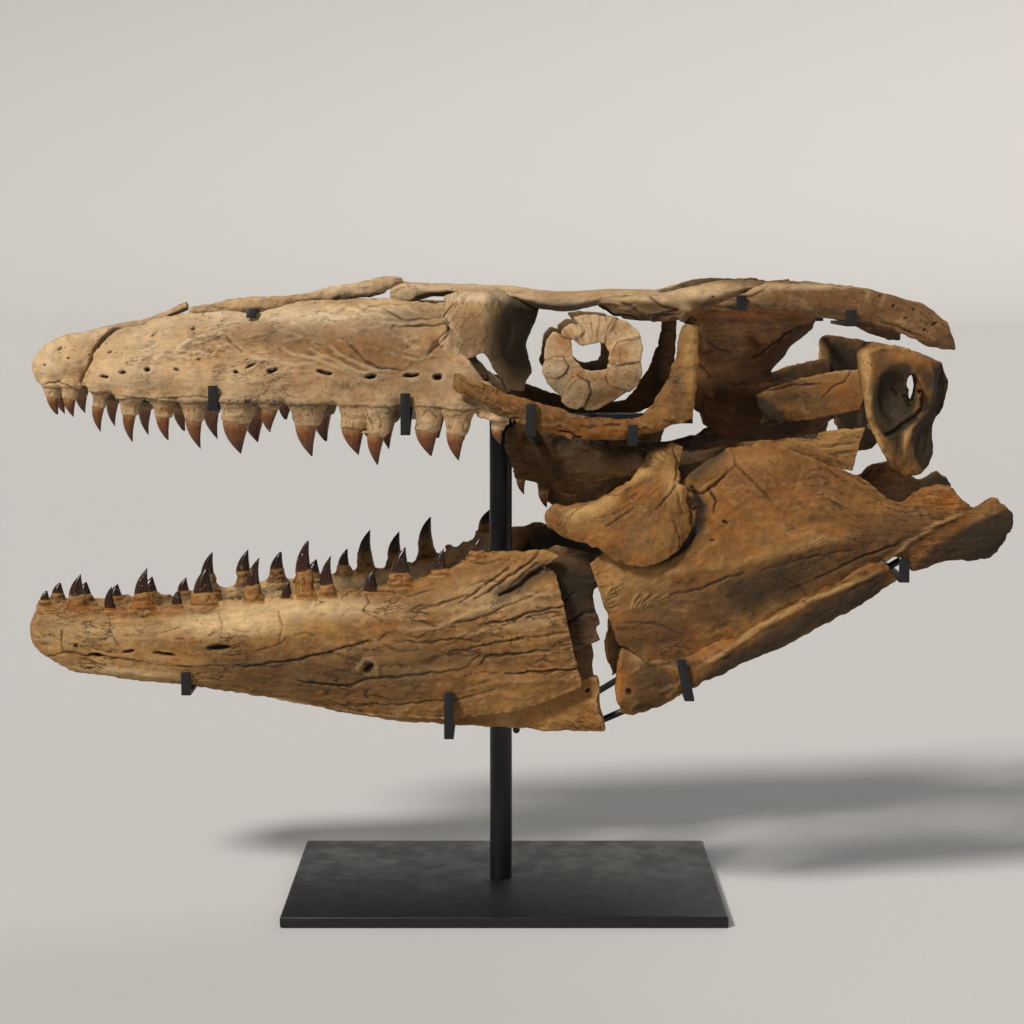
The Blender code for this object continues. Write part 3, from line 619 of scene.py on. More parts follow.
def comb(x, z, stepX, stepZ, slopes, length, count, width, high):
    # thin lines side by side that turn little by little
    lines = []
    for turn in range(count):
        angle = math.radians(slopes[0] + (slopes[1] - slopes[0]) * turn / (count - 1))
        reach, bend = length * (1 - 0.3 * (turn % 2)), length * 0.08
        startX, startZ = x + stepX * turn, z + stepZ * turn
        lines.append((width, high, [
            (startX, startZ),
            (startX + reach / 2 * math.cos(angle) - bend * math.sin(angle),
             startZ + reach / 2 * math.sin(angle) + bend * math.cos(angle)),
            (startX + reach * math.cos(angle), startZ + reach * math.sin(angle))]))
    return lines


prefrontalSuture = (1.7, 1.2, [(-53, 536), (-61, 522), (-53, 509), (-77, 484)])
maxillaSwirls = [
    [(-268, 480), (-240, 478), (-212, 473), (-190, 476)],
    [(-205, 492), (-176, 479), (-150, 467), (-118, 462)],
    [(-182, 494), (-160, 480), (-136, 470), (-116, 466)],
    [(-222, 486), (-196, 480), (-172, 472), (-148, 462)]]
bones = {
    "premaxilla": {
        "finish": "cream", "slot": "cream_bone", "skin": 1.3, "angle": 12, "flake": 0.2, "crackle": 0.1,
        "grabs": [(-418, 488, 22, 20, -8, 0), (-428, 455, 16, 14, -3, 0), (-352, 534, 26, 20, 6, 2)],
        "holes": [(-467, 487, 6, 2.6, 30, 4), (-458, 478, 3.4, 2, 20, 2), (-484, 470, 3, 2, 0, 2)],
        "cracks": [(1.6, 1.0, [(-490, 450), (-470, 453), (-452, 449)])],
        "tones": [(-480, 475, 30, 22, 0.5), (-430, 505, 60, 10, 0.5), (-445, 470, 16, 20, -0.3)]},
    "maxilla": {
        "finish": "cream", "slot": "cream_bone", "skin": 1.45, "crumbs": 4, "flake": 0.6, "crackle": 0.3,
        "fibre": 1.4, "swell": 1.2, "rough": 1.3,
        "grabs": [(-418, 488, 22, 20, -8, 0), (-426, 458, 14, 12, -4, 0), (-392, 520, 24, 14, 0, -4),
            (-58, 515, 8, 40, 3, 0), (-42, 474, 16, 12, 0, 8)],
        "flow": [(-450, 445, 500), (-354, 434, 525), (-262, 434, 527), (-120, 430, 545), (0, 425, 530)],
        "holes": [(-417, 460, 8, 2.6, -5, 5), (-397, 464, 8, 2.6, -5, 5), (-369, 468, 7, 4.4, -10, 6),
            (-339, 468, 6, 2.6, -10, 5), (-277, 467, 6, 4.4, 10, 5), (-261, 472, 12, 2.6, 20, 4),
            (-238, 468, 11, 4.4, 15, 6), (-183, 467, 16, 3.4, -8, 6), (-136, 463, 12, 4.6, 12, 7),
            (-95, 464, 16, 4.4, 12, 7), (-68, 463, 10, 7, 25, 8), (-412, 485, 5, 2.6, 30, 3),
            (-365, 503, 6, 2.2, 20, 3), (-324, 510, 6, 2.2, 20, 2), (-314, 477, 4, 2.2, 10, 2)],
        "dishes": [(-252, 492, 26, 12, 10, 1.6), (-332, 488, 22, 10, 15, 1.2), (-150, 446, 40, 12, 0, 1.6),
            (-215, 448, 18, 10, 0, 1.2), (-392, 480, 16, 14, 0, 1.0)],
        "cracks": [(1.7, 1.2, [(-115, 509), (-114, 513), (-86, 513), (-57, 515)]),
            prefrontalSuture,
            (1.4, 0.9, [(-313, 493), (-300, 499), (-290, 504), (-281, 495), (-271, 487)]),
            (1.6, 1.1, [(-161, 497), (-141, 478), (-124, 470), (-104, 470)]),
            (1.6, 1.2, [(-402, 441), (-368, 437), (-314, 441), (-298, 437)]),
            (1.4, 1.0, [(-126, 530), (-104, 520), (-80, 520), (-60, 524)]),
            (1.3, 0.9, [(-248, 455), (-244, 447), (-240, 452)])],
        "ridges": [*eachLine([(4, 1.5), (3.4, 1.7), (3.4, 1.6), (3.2, 1.4)], maxillaSwirls),
            (4, 1.4, [(-345, 488), (-322, 500), (-296, 506), (-276, 498)]),
            (3, 1.2, [(-300, 488), (-285, 495), (-268, 490)]),
            (3, 1.1, [(-340, 480), (-318, 486), (-300, 482)]),
            (3, 1.1, [(-330, 496), (-300, 494), (-276, 484)]),
            (3, 1.2, [(-130, 518), (-100, 514), (-76, 517)]),
            (3, 1.0, [(-240, 496), (-206, 500), (-176, 498)]),
            *wrinkles(3, 24, (-385, -250, 472, 514), 20, 24, 2.8, 0.95),
            *wrinkles(4, 26, (-250, -85, 466, 512), -18, 34, 2.8, 1.1),
            *wrinkles(6, 8, (-190, -80, 515, 532), 3, 40, 2.8, 1.1)],
        "tones": [(-230, 522, 120, 12, 0.8), (-380, 490, 50, 40, 0.45), (-170, 480, 60, 22, -0.25),
            (-110, 450, 110, 14, -0.3), (-150, 448, 30, 14, 0.35), (-268, 458, 20, 8, 0.4),
            (-130, 486, 70, 26, -0.75), (-215, 488, 60, 16, -0.35), (-60, 500, 24, 20, -0.4),
            (-240, 506, 56, 16, -0.3)],
        "streaks": eachLine([(2.4, 0.3), (2.6, 0.3), (2.6, 0.25), (2.4, 0.25)], maxillaSwirls),
        "shadeBands": [(60, 0.16, [(-260, 488), (-180, 486), (-90, 492)]),
            (5, 0.5, [(-52, 540), (-63, 523), (-54, 510), (-70, 497), (-80, 482)])],
        "shadows": [(-92, 524, 34, 11, 0.34), (-230, 500, 60, 12, 0.15), (-260, 434, 190, 7, 0.42),
            (-120, 488, 80, 26, 0.30), (-60, 452, 70, 30, 0.22), (-240, 450, 150, 16, 0.2),
            (-235, 507, 64, 16, 0.26)]},
    "prefrontal": {
        "finish": "cream", "slot": "cream_bone", "skin": 1.35, "flake": 0.1, "crackle": 0.1, "fibre": 0.6,
        "angle": 70, "tones": [(-35, 515, 22, 26, -0.6), (-30, 542, 40, 7, 0.9)],
        "lumps": [(-34, 538, 56, 12, 26, 0.5), (4, 536, 56, 12, 24, 0.5)],
        "grabs": [(-58, 515, 10, 40, -4, 0), (-57, 523, 14, 8, -6, 0), (-57, 510, 12, 6, 5, 0),
            (-57, 497, 16, 9, -12, 0), (-48, 484, 12, 12, -8, -4), (-20, 545, 60, 10, 0, 7),
            (36, 492, 12, 26, -13, 0), (30, 452, 16, 12, -4, 5)],
        "cracks": [prefrontalSuture],
        "shadows": [(12, 500, 26, 44, 1.3), (28, 520, 20, 40, 1.2), (-34, 508, 26, 32, 0.35)]},
    "jugal": {
        "finish": "orange", "slot": "tan_bone", "skin": 1.25, "pits": 1.0, "flake": 0.8, "crackle": 0.5,
        "rough": 2.4, "fibre": 1.3,
        "flow": [(-50, 455, 470), (0, 423, 450), (80, 399, 427), (150, 405, 440), (195, 405, 440)],
        "grabs": [(-44, 468, 22, 14, -4, 5), (-44, 458, 16, 9, -2, -8), (-20, 448, 26, 8, 0, -3)],
        "ridges": wrinkles(8, 22, (-30, 180, 402, 436), -8, 22, 2.6, 1.4),
        "cracks": wrinkles(31, 16, (0, 170, 402, 434), -8, 14, 2.2, 1.5),
        "tones": [(60, 426, 80, 5, 0.3), (90, 406, 80, 9, -0.9), (182, 480, 16, 60, 0.35),
            (-30, 464, 20, 8, 0.5), (186, 500, 6, 40, 0.3), (60, 420, 100, 22, -0.35)],
        "shadows": [(150, 400, 30, 6, 0.4), (80, 408, 90, 12, 0.35), (10, 430, 40, 12, 0.3),
            (172, 460, 8, 60, 0.35), (60, 420, 90, 14, 0.15)]},
    "postorbitofrontal": {
        "finish": "umber", "slot": "tan_bone", "skin": 1.25, "flake": 0.6, "crackle": 0.6, "pits": 0.8,
        "lumps": [(178, 529, 16, 24, 12, 2.5), (164, 534, 20, 12, 10, 1.5)],
        "tones": [(150, 545, 90, 6, 0.9), (150, 525, 50, 8, -0.6), (210, 552, 50, 8, 0.8),
            (178, 528, 8, 10, 0.6)],
        "shadows": [(126, 521, 40, 8, 0.8), (200, 538, 30, 6, 0.5), (150, 532, 70, 10, 0.25)],
        "ridges": [(7, 1.6, [(100, 541), (140, 541), (176, 537), (196, 526)]),
            (4, 1.4, [(104, 530), (130, 524), (160, 524)]),
            *wrinkles(9, 16, (100, 172, 520, 538), -12, 24, 2.6, 1.3)],
        "cracks": wrinkles(10, 7, (104, 170, 522, 538), -8, 26, 1.8, 1.8)},
    "squamosal": {
        "finish": "umber", "slot": "tan_bone", "skin": 1.3, "pits": 0.3, "flake": 0.3, "crackle": 0.15,
        "grabs": [(255, 556, 34, 10, 0, 6), (300, 556, 34, 10, 0, 7), (345, 553, 30, 10, 0, 4)],
        "flow": [(205, 530, 545), (263, 530, 553), (360, 518, 551), (420, 494, 535), (450, 485, 505)],
        "holes": [(384, 534, 4, 2.6, 20, 2), (396, 523, 5, 2.2, -20, 2), (416, 511, 4, 2.6, 0, 2),
            (426, 517, 5, 2.6, 30, 2), (371, 545, 3, 2, 0, 2), (404, 530, 3, 2, 0, 2)],
        "cracks": [(1.5, 1.0, [(225, 539), (245, 545), (262, 553)]),
            (1.5, 1.1, [(372, 520), (395, 512), (412, 505)])],
        "tones": [(300, 554, 110, 4, 0.7), (235, 551, 26, 7, 0.6), (420, 520, 30, 20, 0.15)],
        "shadows": [(330, 530, 90, 9, 0.3), (444, 498, 16, 18, 0.35)]},
    "supratemporal": {
        "finish": "shaded_brown", "slot": "brown_bone", "skin": 1.8},
    "opisthotic": {
        "finish": "orange", "slot": "orange_bone", "skin": 1.35, "angle": 12, "inner": 0.7,
        "grabs": [(352, 456, 22, 40, 15, 0), (262, 456, 18, 12, -8, 0), (250, 404, 24, 20, 12, 20),
            (300, 424, 40, 12, 0, -4)],
        "shadeBands": [(24, 0.75, [(246, 436), (260, 426), (288, 416)])],
        "ridges": [(5, 3.2, [(252, 444), (272, 456), (300, 463), (330, 470), (358, 477)])],
        "cracks": [(1.8, 1.6, [(322, 440), (332, 452), (342, 458), (350, 468)]),
            (2.0, 1.6, [(262, 444), (290, 452), (322, 456)])],
        "tones": [(262, 447, 16, 6, 1.0), (290, 462, 24, 6, 1.0), (330, 471, 30, 6, 1.0),
            (340, 448, 22, 16, -0.5)],
        "shadows": [(254, 424, 30, 16, 0.5), (290, 440, 34, 7, 0.3), (300, 440, 70, 16, 0.35)]},
    "quadrate": {
        "finish": "rust", "slot": "orange_bone", "skin": 1.25, "angle": 80, "flake": 0.2, "crackle": 0.15,
        "sink": 3.5, "rounds": 160,
        "grabs": [(362, 488, 12, 10, -5, 6), (450, 447, 9, 12, -8, -1), (448, 470, 12, 8, -3, -2)],
        "dishes": [(388, 442, 34, 20, 98, 8), (438, 446, 34, 10, 88, 4), (418, 398, 26, 10, 80, 3.5)],
        "ridges": [
            (3, 3.2, [(358, 488), (357, 474), (361, 462), (363, 444), (365, 420), (371, 404), (380, 396),
                (386, 376)]),
            (4, 3.0, [(420, 486), (426, 462), (424, 440), (414, 426), (404, 414), (399, 396), (397, 374)]),
            (4, 2.0, [(358, 488), (374, 493), (390, 494), (412, 486)])],
        "cracks": [
            # the crescent crack down the bowl is dark as painted shade
            (8, 5, [(402, 464), (410, 455), (417, 443), (418, 434), (409, 424), (397, 415), (381, 407)])],
        "tones": [(358, 478, 5, 16, 1.0), (362, 444, 4, 30, 1.0), (370, 404, 7, 12, 0.9),
            (400, 400, 4, 20, 0.9), (392, 380, 12, 16, -0.5), (425, 452, 5, 26, -0.9),
            (402, 486, 26, 6, 0.3), (386, 386, 6, 14, 0.6)],
        "bowls": [(388, 442, 42, 76, -6, 1.0), (444, 444, 26, 90, 0, 0.9), (426, 396, 36, 64, 12, 0.9)],
        "shadeBands": [(14, 0.7, [(372, 470), (370, 440), (376, 416), (388, 402)]),
            (34, 0.95, [(436, 480), (440, 450), (432, 420), (424, 390)]),
            (14, 0.45, [(386, 410), (392, 390), (396, 374)]),
            (14, 0.4, [(392, 478), (412, 470), (424, 450)])],
        "shadows": [(440, 430, 22, 60, 0.45), (374, 480, 10, 12, 0.6), (412, 396, 22, 26, 0.35),
            (404, 430, 40, 60, 0.1)]},
    "pterygoid": {
        "finish": "orange", "slot": "tan_bone", "skin": 1.5, "flake": 0.3, "crumbs": 9, "swell": 2.0,
        "inner": 0.8, "fibre": 0.5, "crackle": 0.1,
        "lumps": [(22, 404, 22, 28, 20, 4), (42, 396, 22, 22, 20, 6), (64, 402, 26, 18, 20, 5),
            (86, 388, 24, 28, 22, 6), (26, 380, 14, 20, 16, 5), (54, 376, 20, 18, 18, 6),
            (102, 378, 18, 20, 18, 4), (120, 396, 30, 16, 16, 3), (8, 392, 14, 30, 16, 1)],
        "cracks": [(1.4, 1.2, [(322, 391), (342, 394), (356, 396)]), (1.4, 1.0, [(330, 384), (352, 386)])],
        "dishes": [(30, 395, 14, 10, 0, 5), (60, 388, 12, 12, 30, 5), (95, 392, 18, 10, -10, 4)],
        "tones": [(345, 396, 34, 30, 0.4), (300, 396, 30, 12, 0.3), (350, 412, 30, 5, 0.4)],
        "shadows": [(60, 390, 110, 60, 0.9), (190, 390, 60, 60, 0.7)]},
    "dentary": {
        "finish": "tan", "slot": "tan_bone", "skin": 1.5, "crumbs": 7, "crackle": 0.5, "flake": 1.0,
        "fibre": 1.6, "inner": 0.2, "rough": 1.5,
        "flow": [(-510, 158, 212), (-411, 137, 214), (-271, 124, 226), (-118, 104, 242), (6, 116, 288),
            (80, 145, 280)],
        # the inside faces are made paler as painted light
        "roots": -0.75, "innerTone": 0.5,
        "grabs": [(46, 284, 16, 14, 8, 3), (60, 270, 14, 5, -15, 0), (44, 291, 9, 6, 2, 5),
            (20, 291, 8, 6, 0, -4)],
        "holes": [(-455, 175, 5, 3.4, 10, 3), (-433, 165, 16, 3.6, -10, 5), (-396, 171, 12, 3, 10, 5),
            (-358, 169, 22, 3.4, -4, 6), (-299, 177, 24, 6, 4, 8), (-440, 150, 12, 1.8, 8, 2),
            (-140, 161, 14, 7, 50, 5), (-470, 140, 9, 2, -10, 2)],
        "dishes": [(-155, 166, 14, 9, 30, 1.6), (-60, 172, 30, 8, 14, 1.6), (-320, 150, 40, 8, 0, 1.2)],
        "cracks": [(2.0, 1.6, [(-493, 158), (-467, 167), (-429, 164), (-375, 160)]),
            (1.4, 1.0, [(-375, 158), (-345, 156), (-321, 158), (-278, 160)]),
            (2.4, 2.4, [(-285, 158), (-250, 162), (-213, 168), (-171, 180), (-137, 190)]),
            (2.0, 2.0, [(-214, 145), (-190, 142), (-161, 142), (-138, 150), (-108, 153), (-46, 162)]),
            (2.2, 2.4, [(-24, 209), (1, 213), (26, 222), (66, 230)]),
            (2.0, 2.0, [(-25, 167), (-20, 176), (16, 180), (57, 185)]),
            # the notch under the rear prong is carved, and its darkness is painted shadow
            (5.0, 5.5, [(-4, 240), (14, 250), (26, 260), (40, 268), (58, 270)]),
            (2.2, 2.0, [(-30, 236), (-12, 246), (8, 262), (26, 274), (36, 284)]),
            (2.0, 1.8, [(-46, 232), (-26, 244), (-10, 256), (4, 268)]),
            (2.0, 1.8, [(6, 250), (20, 262), (34, 274)]), (2.4, 2.4, [(2, 158), (42, 162), (82, 165)]),
            (1.8, 1.8, [(-56, 180), (-35, 184), (-4, 192), (42, 200), (68, 204)]),
            (1.7, 1.6, [(-113, 189), (-77, 190), (-51, 195), (-25, 191)]),
            (1.6, 1.6, [(-60, 208), (-30, 214), (0, 228), (34, 243)]),
            (1.6, 1.6, [(-90, 222), (-60, 232), (-36, 240)]),
            (1.4, 1.2, [(-469, 190), (-470, 178), (-468, 167)]),
            (1.2, 1.0, [(-418, 208), (-415, 190), (-407, 176)]),
            (1.1, 0.8, [(-300, 214), (-294, 202), (-297, 190)]),
            (1.1, 0.8, [(-235, 216), (-230, 200), (-236, 184)]),
            (1.4, 1.2, [(-170, 120), (-120, 122), (-60, 128), (-10, 140)]),
            *wrinkles(11, 16, (-110, 66, 150, 244), 10, 36, 1.4, 1.2),
            *wrinkles(12, 12, (-330, -110, 130, 200), 8, 30, 1.2, 0.9)],
        "shadeBands": [(18, 0.8, [(58, 269), (38, 266), (14, 250), (-14, 236)]),
            (64, 0.4, [(-330, 156), (-220, 148), (-130, 150), (-60, 160)])],
        "streaks": [(6, 0.8, [(-250, 124), (-190, 113), (-110, 105), (-40, 105)])],
        "ridges": [*wrinkles(13, 22, (-120, 66, 150, 262), 12, 44, 3.0, 0.9),
            (5, 3.2, [(-149, 151), (-151, 162), (-145, 170), (-136, 171), (-130, 164), (-131, 155),
                (-137, 150)]),
            (7, 1.2, [(-430, 152), (-380, 146), (-330, 144)]),
            (9, 2.0, [(-60, 196), (-20, 202), (30, 212), (70, 218)]),
            (8, 1.8, [(-120, 200), (-70, 204), (-20, 226), (20, 246)]),
            (8, 1.6, [(-20, 150), (30, 152), (76, 156)])],
        "tones": [(-290, 204, 60, 14, 1.1), (-470, 190, 50, 30, 0.35), (-410, 148, 80, 10, 0.5),
            (-400, 190, 60, 16, 0.35), (-200, 222, 90, 12, 0.9), (-130, 136, 60, 14, -0.3),
            (-10, 240, 60, 22, 0.5), (-400, 214, 120, 5, -0.5), (30, 268, 30, 16, -0.4),
            (20, 160, 60, 8, -0.5), (-40, 186, 70, 14, -0.35)],
        "shadows": [(-200, 156, 110, 24, 0.3), (-20, 176, 70, 12, 0.35), (-40, 190, 120, 60, 0.12),
            (-400, 132, 120, 8, 0.4)]},
    "splenial": {
        "finish": "tan", "slot": "tan_bone", "skin": 1.5, "inner": 0.85,
        "flow": [(-334, 130, 152), (-184, 106, 150), (-36, 94, 158), (105, 92, 150)],
        "grabs": [(105, 124, 9, 12, -6, 0), (96, 152, 12, 8, -2, 3)],
        "holes": [(86, 138, 5, 4, 60, 3)],
        "tones": [(60, 118, 110, 44, -0.6), (95, 115, 30, 30, 0.35), (20, 112, 90, 14, 0.3)]},
    "angular": {
        "finish": "rust", "slot": "orange_bone", "skin": 1.35, "flake": 0.8, "rough": 1.8,
        "flow": [(110, 105, 185), (189, 142, 177), (283, 188, 226), (394, 255, 280)],
        "grabs": [(114, 192, 10, 10, 9, -7), (114, 116, 9, 9, 5, 4), (110, 146, 9, 16, -4, 0),
            (165, 176, 34, 14, 0, 6), (215, 186, 30, 14, 0, 8), (265, 212, 30, 14, 0, 8),
            (315, 240, 30, 14, 0, 8), (370, 266, 34, 14, 0, 8)],
        "holes": [(127, 141, 5, 8, 0, 4)],
        "ridges": [(9, 2.6, [(118, 116), (114, 140), (118, 170), (124, 190)]),
            (4.5, 3.4, [(197, 170), (230, 190), (262, 214), (307, 239), (354, 260), (392, 278)]),
            *wrinkles(14, 8, (126, 180, 124, 172), 30, 18, 3.0, 1.2)],
        "streaks": [(5, 1.0, [(197, 170), (230, 190), (262, 214), (307, 239), (354, 260)]),
            (12, -0.9, [(116, 116), (112, 140), (116, 168)])],
        "shadeBands": [(30, 0.95, [(196, 146), (232, 170), (268, 195), (310, 221), (356, 244), (400, 265)]),
            (46, 0.75, [(152, 118), (150, 150), (162, 170)])],
        "cracks": [(1.6, 1.4, [(140, 178), (150, 168), (170, 172)])],
        "tones": [(112, 150, 10, 34, -1.0), (225, 194, 40, 8, -0.45), (150, 140, 26, 20, -0.2),
            (300, 240, 40, 8, -0.5), (140, 176, 14, 8, 0.7), (164, 130, 16, 8, 0.3)],
        "shadows": [(150, 118, 40, 10, 0.2)]},
    "surangular": {
        "finish": "orange", "slot": "orange_bone", "skin": 1.5, "fibre": 0.7, "flake": 1.3, "crackle": 0.35,
        "rough": 1.9,
        "lumps": [(436, 341, 34, 14, 16, 2), (452, 334, 18, 16, 14, 2)],
        "flow": [(84, 170, 290), (150, 165, 330), (191, 172, 365), (237, 196, 398), (320, 246, 388),
            (401, 280, 342), (508, 300, 340)],
        "grabs": [(150, 165, 34, 12, 0, -4), (205, 180, 34, 12, 0, -5), (260, 210, 34, 12, 0, -5),
            (320, 245, 34, 12, 0, -5)],
        "holes": [(223, 318, 6, 3, -30, 4), (210, 300, 5, 2.6, 0, 3), (192, 331, 5, 3.4, 20, 3)],
        "dishes": [(203, 316, 9, 8, 10, 1.6), (180, 250, 26, 8, 10, 1.2), (290, 330, 40, 14, -35, 1.4)],
        "cracks": [(1.6, 1.2, [(230, 386), (233, 374), (247, 362), (270, 338)]),
            (1.4, 1.0, [(233, 374), (218, 360), (205, 352)]),
            # the wide crack behind the coronoid's rear edge is painted shadow
            (7.0, 3.0, [(190, 352), (197, 334), (196, 314), (184, 296), (166, 282), (138, 274)]),
            (2.6, 2.4, [(182, 350), (198, 346), (212, 354), (224, 368)]),
            (2.2, 2.0, [(206, 350), (214, 338), (210, 328)]),
            *comb(130, 225, 3.6, 0.8, (64, 34), 20, 7, 1.2, 1.0),
            *comb(99, 223, 1.2, 4.2, (26, 38), 20, 5, 1.2, 1.0),
            (2.0, 2.0, [(169, 243), (184, 246), (200, 250), (218, 260), (240, 266)]),
            (1.6, 1.6, [(258, 270), (298, 282), (348, 293)]),
            (1.6, 1.8, [(284, 248), (322, 266), (363, 287), (390, 298), (418, 311), (450, 323)]),
            (1.3, 1.2, [(120, 214), (150, 214), (176, 206)]),
            (1.4, 1.2, [(280, 262), (296, 254), (304, 246)])],
        "shadeBands": [(64, 0.34, [(140, 218), (232, 240), (300, 268)]),
            (44, 0.58, [(214, 232), (260, 254), (302, 272), (349, 289), (385, 305), (420, 320)]),
            (12, 0.9, [(192, 350), (199, 332), (197, 312), (184, 294), (164, 281), (136, 273)]),
            (30, 0.85, [(184, 364), (198, 380), (220, 396)]),
            (44, 0.25, [(110, 200), (150, 190), (200, 196)])],
        "streaks": [(4, 0.3, [(392, 289), (405, 301), (432, 319), (464, 331)]),
            (10, 0.2, [(120, 262), (170, 268), (236, 276), (300, 296), (350, 309)])],
        "bowls": [(478, 299, 150, 46, 25, 0.88)],
        "ridges": [*comb(128, 224, 3.6, 0.8, (66, 34), 24, 8, 2.4, 1.3),
            *comb(97, 220, 1.2, 4.2, (24, 40), 24, 6, 2.4, 1.2),
            *wrinkles(15, 20, (190, 330, 300, 372), -32, 26, 4.5, 0.8),
            *wrinkles(16, 10, (110, 230, 200, 262), 12, 30, 4, 0.8),
            (4.5, 3.8, [(352, 266), (378, 280), (392, 289), (405, 301), (432, 319), (464, 331)]),
            (14, 2.4, [(140, 262), (220, 276), (300, 296), (380, 312)]),
            (10, 2.0, [(420, 345), (445, 352), (470, 336)])],
        "tones": [(250, 355, 60, 30, 0.1), (205, 225, 60, 20, 0.15), (130, 240, 40, 40, 0.12),
            (440, 345, 30, 12, -0.9), (320, 330, 60, 40, 0.1), (236, 380, 60, 10, 0.35),
            (190, 300, 40, 30, -0.3), (290, 350, 40, 20, -0.25), (110, 262, 20, 30, 0.35),
            (150, 254, 40, 8, 0.2), (270, 350, 60, 30, -0.2)],
        "shadows": [(494, 316, 30, 30, 0.45), (130, 196, 40, 30, 0.2)]},
    "prearticular": {
        "finish": "umber", "slot": "brown_bone", "skin": 1.7, "inner": 0.4,
        "grabs": [(100, 234, 20, 14, 0, 18)],
        "lumps": [(46, 230, 44, 44, 9, 1), (64, 236, 44, 46, 8, 0.5, 24), (74, 210, 44, 26, 8, 0.5, 22),
            (80, 196, 32, 26, 8, 0.5, 24)],
        "cracks": [(2.4, 2.0, [(36, 214), (52, 222), (72, 240)]),
            (3.0, 3.0, [(52, 204), (72, 213), (98, 224)])],
        "shadows": [(44, 246, 60, 30, 0.7), (100, 260, 60, 40, 0.6), (74, 202, 34, 30, 0.6)]},
    "coronoid": {
        "finish": "orange", "slot": "orange_bone", "skin": 1.25, "fan": (172, 372), "flake": 0.9,
        "crackle": 0.15, "rough": 1.9,
        "lumps": [(54, 321, 28, 27, 15, 0.5), (168, 362, 22, 26, 8, 2), (178, 346, 16, 22, 8, 1.5)],
        "cracks": [(1.5, 1.4, [(103, 314), (119, 324), (131, 333)]),
            (1.8, 1.8, [(152, 332), (165, 344), (174, 356)]),
            (1.2, 1.2, [(169, 320), (177, 300), (176, 284)]),
            (1.2, 1.2, [(173, 350), (175, 335), (180, 326)]),
            (1.5, 1.4, [(168, 392), (174, 378), (173, 362)])],
        "ridges": [(8, 2.2, [(60, 322), (90, 330), (120, 348), (146, 372), (158, 392)])],
        "streaks": [(14, 0.4, [(56, 322), (90, 328), (120, 346), (142, 368), (156, 390)])],
        "tones": [(72, 320, 40, 18, 0.4), (150, 300, 30, 22, 0.3), (165, 375, 20, 20, 0.3),
            (172, 356, 12, 14, 0.6), (128, 346, 14, 12, -0.7), (50, 318, 7, 10, -0.6)]},
    "internarial_bar": {
        "finish": "cream", "slot": "cream_bone", "skin": 1.2, "crackle": 0.4,
        "stretches": [(-132, 558, 26, 1.9)], "tones": [(-200, 552, 120, 8, 0.6)]},
    "frontal": {
        "finish": "cream", "slot": "cream_bone", "skin": 1.6, "crackle": 0.4, "flake": 0.8,
        "stretches": [(-112, 550, 22, 3.0)],
        "grabs": [(-80, 538, 50, 10, 0, -6), (0, 538, 50, 10, 0, -5), (60, 538, 36, 10, 0, -9)],
        "tones": [(20, 556, 160, 8, 0.6)], "shadows": [(-60, 534, 60, 5, 0.7), (50, 532, 50, 9, 0.9)]},
    "parietal": {
        "finish": "shaded_brown", "slot": "brown_bone", "skin": 1.7, "flake": 0.8, "angle": 8, "swell": 2.4,
        "grabs": [(235, 455, 40, 20, 0, -8), (310, 516, 16, 14, 13, 4), (300, 500, 20, 14, 2, 6)],
        "lumps": [(222, 452, 62, 40, 36, 1.5), (258, 452, 56, 36, 36, 1.0), (200, 466, 30, 44, 30, 2),
            (246, 466, 22, 22, 20, 3), (212, 440, 34, 46, 34, 2.5)],
        "cracks": [(3.4, 3.4, [(196, 476), (206, 468), (216, 458)]),
            (1.6, 1.6, [(206, 500), (222, 488), (238, 482)]),
            (2.2, 2.4, [(262, 478), (280, 492), (300, 506)])],
        "ridges": [(5, 3, [(194, 468), (206, 452), (222, 434), (232, 422)]),
            (4, 2.2, [(204, 530), (250, 528), (310, 521)])],
        "tones": [(270, 524, 60, 5, -1.0), (225, 462, 30, 16, 0.35), (250, 506, 50, 12, 0.3),
            (208, 448, 14, 20, 0.5)]},
    "braincase": {
        "finish": "shaded_brown", "slot": "brown_bone", "skin": 1.6, "swell": 2.4, "flake": 0.7, "angle": -10,
        "grabs": [(230, 450, 40, 20, 0, 8)]},
    "palate": {
        "finish": "shaded_brown", "slot": "tan_bone", "skin": 2.4, "fibre": 0.6},
}


def fibrePlaces(points, bone):
    # a frame that follows the fibres: along them, across them, and across the skull
    x, y, z = points[:, 0], points[:, 1], points[:, 2] - datum
    if "fan" in bone:
        centreX, centreZ = bone["fan"]
        along, across = np.hypot(x - centreX, z - centreZ), np.arctan2(z - centreZ, x - centreX) * 60
    elif "flow" in bone:
        xs, lows, highs = zip(*bone["flow"])
        low, high = np.interp(x, xs, lows), np.interp(x, xs, highs)
        along, across = x, (z - low) / (high - low) * (sum(highs) - sum(lows)) / len(xs)
    else:
        turn = math.radians(bone["angle"])
        along, across = x * math.cos(turn) + z * math.sin(turn), z * math.cos(turn) - x * math.sin(turn)
    return np.stack([along, across, y], 1)


def softenFacets(points, normals, edges, degree, rounds, sink, fill):
    # broad facets round off: edges give way by no more than sink, and hollows fill by no more than fill
    lift = np.zeros(len(points))
    for turn in range(rounds):
        here = points + normals * lift[:, None]
        toward = ((ringMean(here, edges, degree) - here) * normals).sum(1)
        lift = np.clip(lift + 0.7 * toward, -sink, fill)
    return points + normals * lift[:, None], lift


def patch(points, x, z, reachX, reachZ):
    # 1 at a patch's middle, fading over its two reaches
    return np.exp(-((points[:, 0] - x) / reachX) ** 2 - ((points[:, 2] - datum - z) / reachZ) ** 2)


